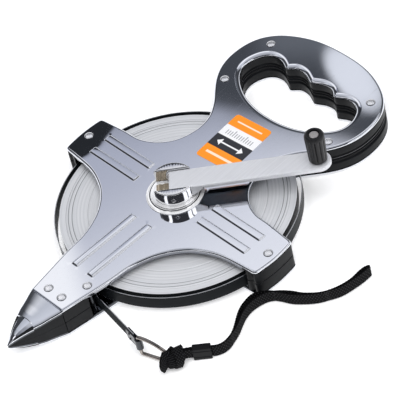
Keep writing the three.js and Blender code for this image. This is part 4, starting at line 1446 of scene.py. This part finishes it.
def end_clip():
    """Folded clip: two cheeks on the blade, rolled about the ring's wire, and four rivets."""
    start, eye = LEADER_END - 8, RING_S
    angles = np.linspace(math.radians(35), math.radians(325), 30)
    # (distance along the leader, side) down one cheek, round the eye and back
    outer = [(start, 1.35), (start + 2, 1.35), (eye - 3.6, 1.35), (eye - 2.2, 1.6)]
    outer += [(eye - 2.5 * math.cos(angle), 2.5 * math.sin(angle)) for angle in angles]
    outer += [(eye - 2.2, -1.6), (eye - 3.6, -1.35), (start + 2, -1.35), (start, -1.35)]
    inner = [(start, -0.62), (eye - 3.2, -0.62), (eye - 2.0, -0.7)]
    inner += [(eye - 1.55 * math.cos(angle), 1.55 * math.sin(angle))
              for angle in angles[::-1]]
    inner += [(eye - 2.0, 0.7), (eye - 3.2, 0.62), (start, 0.62)]
    loop = np.array([on_leader(*point) for point in outer + inner])[::-1]
    shape = Shape()
    shape.loft(layered(loop, [(0.12, 7.1), (0, 7.25), (0, 15.85), (0.12, 16.0)]))
    ring = circle(16)
    for z in (9.0, 14.0):
        for side in (1, -1):
            rings = []
            for radius, out in ((1.0, 1.3), (0.9, 1.65), (0.5, 1.9), (0.01, 1.95)):
                centre = on_leader(LEADER_END - 4.5, side * out)
                level = centre + LEADER_WAY * radius * ring[:, :1]
                rings.append(at_height(level, z + radius * ring[:, 1]))
            shape.tube(rings)
    shape.make("tape_end_clip_folded", [DARK_STEEL], "tape_end", "tape_end_clip")


# Heading of the ring, and its bow as (distance from the post, z).
RING_WAY = np.array([0.306, -0.952])
RING_ARC = [(0, 17.75), (5, 17.5), (10, 16.3), (15, 14), (19.5, 10.6), (22.8, 6.2),
            (22.9, 3.2), (20.5, 1.6), (16, 1.5), (0, 1.5)]
RING_WIRE_R = 1.28


def end_ring():
    """D-shaped wire ring with its upright post through the clip."""
    post_at = on_leader(RING_S)
    bow = spline([(*(post_at + RING_WAY * distance), z) for distance, z in RING_ARC], 0.7)
    post = at_height(np.tile(post_at, (16, 1)), np.linspace(1.5, 17.75, 18)[1:-1])
    path = np.vstack([bow, post])
    for _ in range(3):
        path = 0.2 * np.roll(path, 1, 0) + 0.6 * path + 0.2 * np.roll(path, -1, 0)
    shape = Shape()
    shape.sweep(path, RING_WIRE_R * circle(16), closed=True,
                up=(-RING_WAY[1], RING_WAY[0], 0))
    shape.make("end_ring_wire", [WIRE], "wrist_loop", "end_ring", angle=60)


coil()
outer_wrap()
leader()
end_clip()
end_ring()

# ------------------------------------------------------------- wrist strap
# Outer surfaces of the two strap runs, (x, y) from the crimp to the far bend.
FAR_RUN = [
    (-69.7, -102.4), (-67.8, -104.1), (-63.4, -106.1), (-57.8, -106), (-51.9, -103.6),
    (-44.8, -99.2), (-39.9, -96.1), (-34.8, -93.8), (-28.9, -92.5), (-23.9, -92.1),
    (-21.1, -93), (-16.7, -95.9), (-13.2, -99.8), (-9.9, -105.7), (-7.3, -112.2),
    (-3.5, -117.6), (0.7, -122.5), (5.6, -126.8), (11.6, -130.1), (18.2, -132.7),
    (25.7, -134.2), (30, -134.2), (34.8, -133.9), (39.6, -134.5), (41.6, -135.6)]
NEAR_RUN = [
    (-71.3, -101.7), (-69.6, -103.7), (-66, -106.4), (-60.5, -107.4), (-54.1, -106.3),
    (-47.4, -104.2), (-43.6, -102.3), (-36.7, -99), (-29.5, -97.35), (-22.7, -97.9),
    (-17, -99.7), (-13.3, -102.5), (-9, -107.4), (-5.4, -113), (-3.1, -118), (-0.4, -121.8),
    (3.9, -126.7), (9.1, -130.6), (15, -134), (18.4, -135.3), (22.6, -136.2), (27.1, -137.0),
    (31.6, -137.6), (36, -137.9), (40.5, -137.8)]
WEAVE_PITCH, WEAVE_COLUMNS, WEAVE_DEPTH = 2.1, 6, 0.26
HALF_STRAP = 0.72                       # from a run's surface to its centre line
STRAP_Z = 5.3


def woven(shape, path, width, thick, up=(0, 0, 1), step=0.36):
    """A ribbon along path, its width towards up, with a raised weave on both faces."""
    path = resample(path, step)
    across = np.linspace(-1, 1, WEAVE_COLUMNS * 5 + 1)
    place = (across + 1) / 2 * WEAVE_COLUMNS
    edge = np.clip((1 - np.abs(across)) / 0.12, 0, 1) ** 0.5
    crown = np.abs(np.sin(place * PI)) ** 0.6
    turns = (np.arange(len(path)) * step)[:, None] / WEAVE_PITCH + 0.5 * np.floor(place)
    faces, lifts = [], []
    for side, shift in ((1, 0), (-1, 0.5)):
        rise = (0.5 + 0.5 * np.cos(2 * PI * (turns + shift))) * crown
        out = thick / 2 * (0.35 + 0.65 * edge) + WEAVE_DEPTH * (rise - 0.5) * edge
        faces.append(np.stack([side * out, np.broadcast_to(across * width / 2, out.shape)],
                              axis=2))
        lifts.append(rise * edge)
    section, lift = (np.concatenate([first, second[:, -2:0:-1]], axis=1)
                     for first, second in (faces, lifts))
    shape.lifts.append((shape.count, lift))
    shape.sweep(path, section, up)


def sideways(path, distance):
    tangents = np.gradient(path, axis=0)
    tangents /= np.linalg.norm(tangents, axis=1, keepdims=True)
    return path + np.column_stack([-tangents[:, 1], tangents[:, 0]]) * distance


def wrist_strap():
    """Strap standing on edge: out along one run, round the bend and back."""
    far = sideways(spline(FAR_RUN, 0.8, relax=3), -HALF_STRAP)
    near = sideways(spline(NEAR_RUN, 0.8, relax=3), HALF_STRAP)
    middle = (far[-1] + near[-1]) / 2
    ahead = far[-1] - far[-6]
    ahead /= np.linalg.norm(ahead)
    radius = far[-1] - middle
    angles = np.linspace(PI / 2, -PI / 2, 12)[1:-1, None]
    bend = (middle + radius * np.sin(angles)
            + ahead * np.linalg.norm(radius) * np.cos(angles))
    shape = Shape()
    woven(shape, at_height(np.vstack([far, bend, near[::-1]]), STRAP_Z), 9.9, 1.25)
    shape.make("wrist_strap_woven", [WEBBING], "wrist_loop", "wrist_strap",
               angle=60)


KNOT_AT = np.array([-91.0, -88.6, 7.2])
KNOT_AXES = np.array([[math.cos(-0.35), math.sin(-0.35), 0],
                      [-math.sin(-0.35), math.cos(-0.35), 0], [0, 0, 1.0]])
KNOT_SIZE = (8.6, 5.9, 6.4)             # half sizes along the knot's own axes
# Bands over the knot: width, thickness, direction of the width, points. The direction and
# the points are in the knot's own axes.
KNOT_BANDS = [
    (5.4, 1.5, (1, 0.5, 0),
     [(-7.0, -3.0, -3.5), (-8.6, -3.6, 1.0), (-7.2, -2.2, 5.2), (-3.6, 0.6, 6.9),
      (-0.6, 3.6, 5.2), (0.8, 5.6, 1.0), (0.4, 5.0, -3.6)]),
    (5.8, 1.5, (1, 0, 0),
     [(1.0, -5.2, -4.2), (2.4, -6.1, 0.4), (3.2, -4.4, 4.8), (4.2, -0.4, 6.6),
      (5.2, 3.0, 5.0), (6.0, 4.6, 0.5), (5.6, 3.8, -4.0)]),
    (8.2, 3.0, (0, 0, 1),
     [(3.0, -0.6, 1.2), (7.0, -0.6, 0.8), (11.0, -1.2, 0.0), (14.5, -1.6, -1.4)])]


def strap_hitch():
    """Strap drawn into a ribbed bulb by the ring, with bands laid over it."""
    polar = np.linspace(0.02, PI - 0.02, 72)[:, None]
    around = np.linspace(0, 2 * PI, 96, endpoint=False)
    wave = np.sin(around * 26 + 2.2 * np.sin(polar * 3))
    folds = (-0.9 * np.exp(-((polar - 1.35 - 0.35 * np.sin(around)) / 0.13) ** 2)
             - 0.6 * np.exp(-((polar - 2.15 + 0.2 * np.cos(around)) / 0.11) ** 2))
    swell = 1 + (0.22 * wave * np.sin(polar) + folds) / 7.5
    local = np.stack([np.cos(polar) * swell, np.sin(polar) * np.cos(around) * swell,
                      np.sin(polar) * np.sin(around) * swell], axis=2) * KNOT_SIZE
    bulb = KNOT_AT + local @ KNOT_AXES
    shape = Shape()
    # Raised ribs of the bulb get the painted highlight too.
    shape.lifts.append((0, np.maximum(0.0, wave) * np.minimum(1.0, np.sin(polar) * 2)))
    shape.tube(bulb)
    shape.fan(bulb[0])
    shape.fan(bulb[-1])
    for width, thick, up, points in KNOT_BANDS:
        path = spline(KNOT_AT + np.array(points) @ KNOT_AXES, 0.4, relax=2)
        woven(shape, path, width, thick, np.array(up) @ KNOT_AXES, step=0.4)
    shape.make("strap_hitch_knot", [WEBBING], "wrist_loop", "strap_hitch",
               angle=60)


def strap_crimp():
    """Flat sleeve round both strap runs, with two grooves."""
    layers = [(0.5, 0.3), (0.15, 0.42), (0, 0.75), (0, 2.6), (0.28, 2.75), (0.28, 3.15),
              (0, 3.3), (0, 7.8), (0.28, 7.95), (0.28, 8.35), (0, 8.5), (0, 10.3),
              (0.15, 10.65), (0.5, 10.8)]
    shape = Shape()
    shape.loft(layered(rounded_rectangle(6.1, 2.5, radius=0.6, step=1.0, arc=4), layers))
    shape.turn(math.radians(-43.8), shift=(-74.6, -98.2))
    shape.make("strap_crimp_sleeve", [CRIMP], "wrist_loop", "strap_crimp")


def label():
    """Thin vinyl label on the front plate."""
    loop = rounded_rectangle(22, 15.8, radius=2.4, step=2.0, arc=6)
    shrink = (0.002, 0.35, 0.7, 0.95)
    top = LABEL_Z + 0.17
    rings = [at_height(loop * part, LABEL_Z) for part in shrink]
    rings += layered(loop, [(0, LABEL_Z), (0, top - 0.05), (0.06, top - 0.01), (0.16, top)])
    rings += [at_height(loop * part, top) for part in shrink[::-1]]
    shape = Shape()
    shape.tube(rings)
    for ring in (rings[0], rings[-1]):
        shape.polygon(ring)
    shape.turn(LABEL_TURN, shift=LABEL_AT)
    shape.make("capacity_label_vinyl", [LABEL], "frame", "capacity_label")


wrist_strap()
strap_hitch()
strap_crimp()
label()


# ------------------------------------------------ CAD pieces that stay visible
def dress_cad(name, material):
    ob = CAD_NODES[name]
    ob.data.materials.clear()
    ob.data.materials.append(material)
    for face in ob.data.polygons:
        face.material_index = 0
    weld = ob.modifiers.new("weld", "WELD")
    weld.merge_threshold = 2e-6
    bevel = ob.modifiers.new("soft_edges", "BEVEL")
    bevel.width = 0.00015
    bevel.segments = 2
    bevel.limit_method = "ANGLE"
    bevel.angle_limit = math.radians(35)


dress_cad("drum", DRUM)
for name in ("drum_roll_pin", "axle", "thrust_washer_front", "thrust_washer_rear",
             "tape_anchor_rivet"):
    dress_cad(name, STEEL)


# --------------------------------------------------------------- floor, camera
def make_floor():
    mesh = bpy.data.meshes.new("floor")
    half, z = 6, -0.0002
    mesh.from_pydata([(-half, -half, z), (half, -half, z), (half, half, z), (-half, half, z)],
                     [], [(0, 1, 2, 3)])
    floor = bpy.data.objects.new("floor", mesh)
    bpy.context.scene.collection.objects.link(floor)
    mesh.materials.append(Surface("floor_paper").finish(
        Base_Color=(0.93, 0.93, 0.93), Roughness=0.9, Emission_Color=(1, 1, 1),
        Emission_Strength=0.26))


def camera_axes():
    """Right, up and ahead of the camera, with the turn that gives it its heading."""
    pitch, tilt, yaw = (math.radians(angle)
                        for angle in (46.3554472, -13.83448828, 34.04179563))
    ahead = np.array([0, math.cos(pitch), -math.sin(pitch)])
    level = np.array([1.0, 0, 0])
    upright = np.cross(level, ahead)
    right = math.cos(tilt) * level + math.sin(tilt) * upright
    up = -math.sin(tilt) * level + math.cos(tilt) * upright
    heading = np.array([[math.cos(yaw), math.sin(yaw), 0],
                        [-math.sin(yaw), math.cos(yaw), 0], [0, 0, 1]])
    return heading @ right, heading @ up, heading @ ahead, heading


VIEW_RIGHT, VIEW_UP, VIEW_AHEAD, HEADING = camera_axes()
CAMERA_AIM = (14.872892, -3.588917, 0)  # mm, before the heading, level with the tape front
CAMERA_DISTANCE = 1649.866895


def make_camera():
    data = bpy.data.cameras.new("camera")
    data.sensor_width = 36.0
    data.lens = 222.3153746
    data.clip_start = 0.1
    data.clip_end = 50
    place = HEADING @ CAMERA_AIM + [0, 0, TAPE1] - VIEW_AHEAD * CAMERA_DISTANCE
    camera = bpy.data.objects.new("camera", data)
    bpy.context.scene.collection.objects.link(camera)
    columns = np.column_stack([VIEW_RIGHT, VIEW_UP, -VIEW_AHEAD, place * MM])
    camera.matrix_world = Matrix([*columns.tolist(), [0, 0, 0, 1]])
    bpy.context.scene.camera = camera


# -------------------------------------------------------------------- studio
# Ramp stops are (half of z + 1, colour), from straight down to straight up.
FAR_SIDE = [
    (0.0, (0.9, 0.9, 0.9)), (0.5, (0.93, 0.93, 0.95)), (0.655, (0.90, 0.91, 0.95)),
    (0.70, (0.12, 0.13, 0.15)), (0.74, (0.05, 0.053, 0.06)), (0.865, (0.06, 0.063, 0.07)),
    (0.89, (0.48, 0.50, 0.55)), (0.93, (0.66, 0.68, 0.74)), (0.96, (0.55, 0.56, 0.6)),
    (1.0, (0.55, 0.56, 0.6))]
CAMERA_SIDE = [
    (0.0, (0.9, 0.9, 0.9)), (0.5, (0.55, 0.56, 0.58)), (0.53, (0.20, 0.21, 0.22)),
    (0.56, (0.06, 0.06, 0.066)), (0.895, (0.035, 0.035, 0.04)), (0.925, (0.10, 0.105, 0.12)),
    (0.955, (0.24, 0.25, 0.28)), (1.0, (0.45, 0.46, 0.50))]
# Mirror coordinates of a direction seen in a level plate: straight ahead of the camera is
# MIRROR_CENTRE both ways, and a slope of 1 to the side adds MIRROR_SCALE.
MIRROR_CENTRE, MIRROR_SCALE = 200.0, 2470.17


def room(graph):
    """The room by height, darker behind the camera and with bright upright panels there."""
    _, _, z = graph.xyz()
    height = (z + 1.0) * 0.5
    far, near = graph.ramp(height, FAR_SIDE), graph.ramp(height, CAMERA_SIDE)
    behind = graph.step(graph.dot((-0.559, -0.829, 0.0)), low=-0.32, high=-0.10)
    color = graph.mix(behind, far, near)
    right = graph.dot((0.829, -0.559, 0.0))
    panel = graph.band(right, 0.44, 0.92, soft=0.03) * graph.band(z, 0.08, 0.80, soft=0.04)
    panel = panel * (1.0 - graph.band(right, 0.60, 0.635, soft=0.01) * 0.9)
    strip = graph.band(right, -0.13, -0.09, soft=0.01) * graph.band(z, 0.35, 0.62, soft=0.03)
    panel = graph.math("MAXIMUM", panel, strip)
    strip = graph.band(right, -0.62, -0.52, soft=0.02) * graph.band(z, 0.30, 0.85, soft=0.04)
    panel = graph.math("MAXIMUM", panel, strip)
    # dimmer at middle heights
    panel = panel * (1.0 - graph.band(z, 0.30, 0.66, soft=0.05) * 0.58)
    return graph.mix(panel * behind, color, (1.5, 1.5, 1.54))


def light_card(graph, across, down):
    """What the level plates mirror: a bright card, dark above a soft bent edge."""
    rise = graph.math("MAXIMUM", across - 215.0, 0.0) * 0.26
    rise = rise + graph.math("MAXIMUM", 215.0 - across, 0.0) * 0.10
    edge = down - (104.0 + rise)
    lit = (graph.step(edge, low=-8.0, high=12.0) * 0.72
           + graph.step(edge, low=-4.0, high=46.0) * 0.28)
    slant = down + (across - 150.0) * 0.55
    card = graph.mix(graph.step(slant, low=125.0, high=330.0),
                     (0.45, 0.47, 0.56), (0.84, 0.85, 0.90))
    # dark part, a little lighter to the right and lighter still at its upper right
    shade = graph.mix(graph.step(across, low=90.0, high=230.0),
                      (0.022, 0.024, 0.028), (0.062, 0.067, 0.078))
    upper_right = (graph.step(across, low=240.0, high=285.0)
                   * (1.0 - graph.step(down, low=40.0, high=75.0)))
    shade = graph.mix(upper_right, shade, (0.13, 0.14, 0.16))
    color = graph.mix(lit, shade, card)
    # soft slanting oval in the dark part
    length = (across - 354.0) * 0.64 + (down - 78.0) * 0.77
    breadth = (across - 354.0) * 0.77 - (down - 78.0) * 0.64
    oval = abs(length / 42.0) ** 2.6 + abs(breadth / 20.0) ** 2.0
    color = graph.mix(1.0 - graph.step(oval, low=0.45, high=1.25), color,
                      (0.80, 0.82, 0.88))
    # grey patch low down, and a white one to its right
    patch = (graph.step(down, low=325.0, high=410.0)
             * graph.band(across, 60.0, 235.0, soft=25.0))
    color = graph.mix(patch, color, (0.26, 0.27, 0.30))
    patch = (graph.step(down, low=325.0, high=390.0)
             * graph.step(across, low=225.0, high=275.0))
    color = graph.mix(patch, color, (1.1, 1.1, 1.12))
    # white left of a slanting line
    beyond = across - (30.0 + (down - 60.0) * 0.25)
    left = ((1.0 - graph.step(beyond, low=-22.0, high=14.0))
            * graph.step(down, low=150.0, high=215.0))
    return graph.mix(left, color, (1.0, 1.0, 1.02))


def make_studio():
    """World seen only by reflections and as light; the camera sees plain white."""
    world = bpy.data.worlds.new("studio")
    bpy.context.scene.world = world
    world.use_nodes = True
    graph = Graph(world.node_tree, "Generated")
    mirror = np.array([1, 1, -1.0])
    depth = graph.dot(VIEW_AHEAD * mirror)
    across = MIRROR_CENTRE + MIRROR_SCALE * (graph.dot(VIEW_RIGHT * mirror) / depth)
    down = MIRROR_CENTRE - MIRROR_SCALE * (graph.dot(VIEW_UP * mirror) / depth)
    # the card fills the directions round the mirrored view
    sides = (graph.step(across, low=-500.0, high=-250.0)
             * (1.0 - graph.step(across, low=700.0, high=950.0)))
    mirrored = (graph.math("GREATER_THAN", depth, 0.3)
                * (graph.step(down, low=-260.0, high=-120.0) * sides))
    mirrored = mirrored * (1.0 - graph.step(down, low=560.0, high=800.0))
    color = graph.mix(mirrored, room(graph), light_card(graph, across, down))
    lighting = graph.add("Background", {"Color": color, "Strength": 1.0})
    plain = graph.add("Background", {"Color": (1, 1, 1)})
    seen = graph.add("LightPath", output="Is Camera Ray")
    shader = graph.add("MixShader", {0: seen, 1: lighting, 2: plain})
    graph.node("OutputWorld", {0: shader})


def make_overhead_light():
    data = bpy.data.lights.new("overhead", "AREA")
    data.shape = "RECTANGLE"
    data.size = data.size_y = 1.6
    data.energy = 34
    light = bpy.data.objects.new("overhead", data)
    bpy.context.scene.collection.objects.link(light)
    light.location = (-0.35, -0.55, 1.7)
    light.rotation_euler = (-light.location).to_track_quat("-Z", "Y").to_euler()
    light.visible_camera = False
    light.visible_glossy = False


make_floor()
make_camera()
make_studio()
make_overhead_light()
bpy.context.scene.view_settings.view_transform = "Standard"
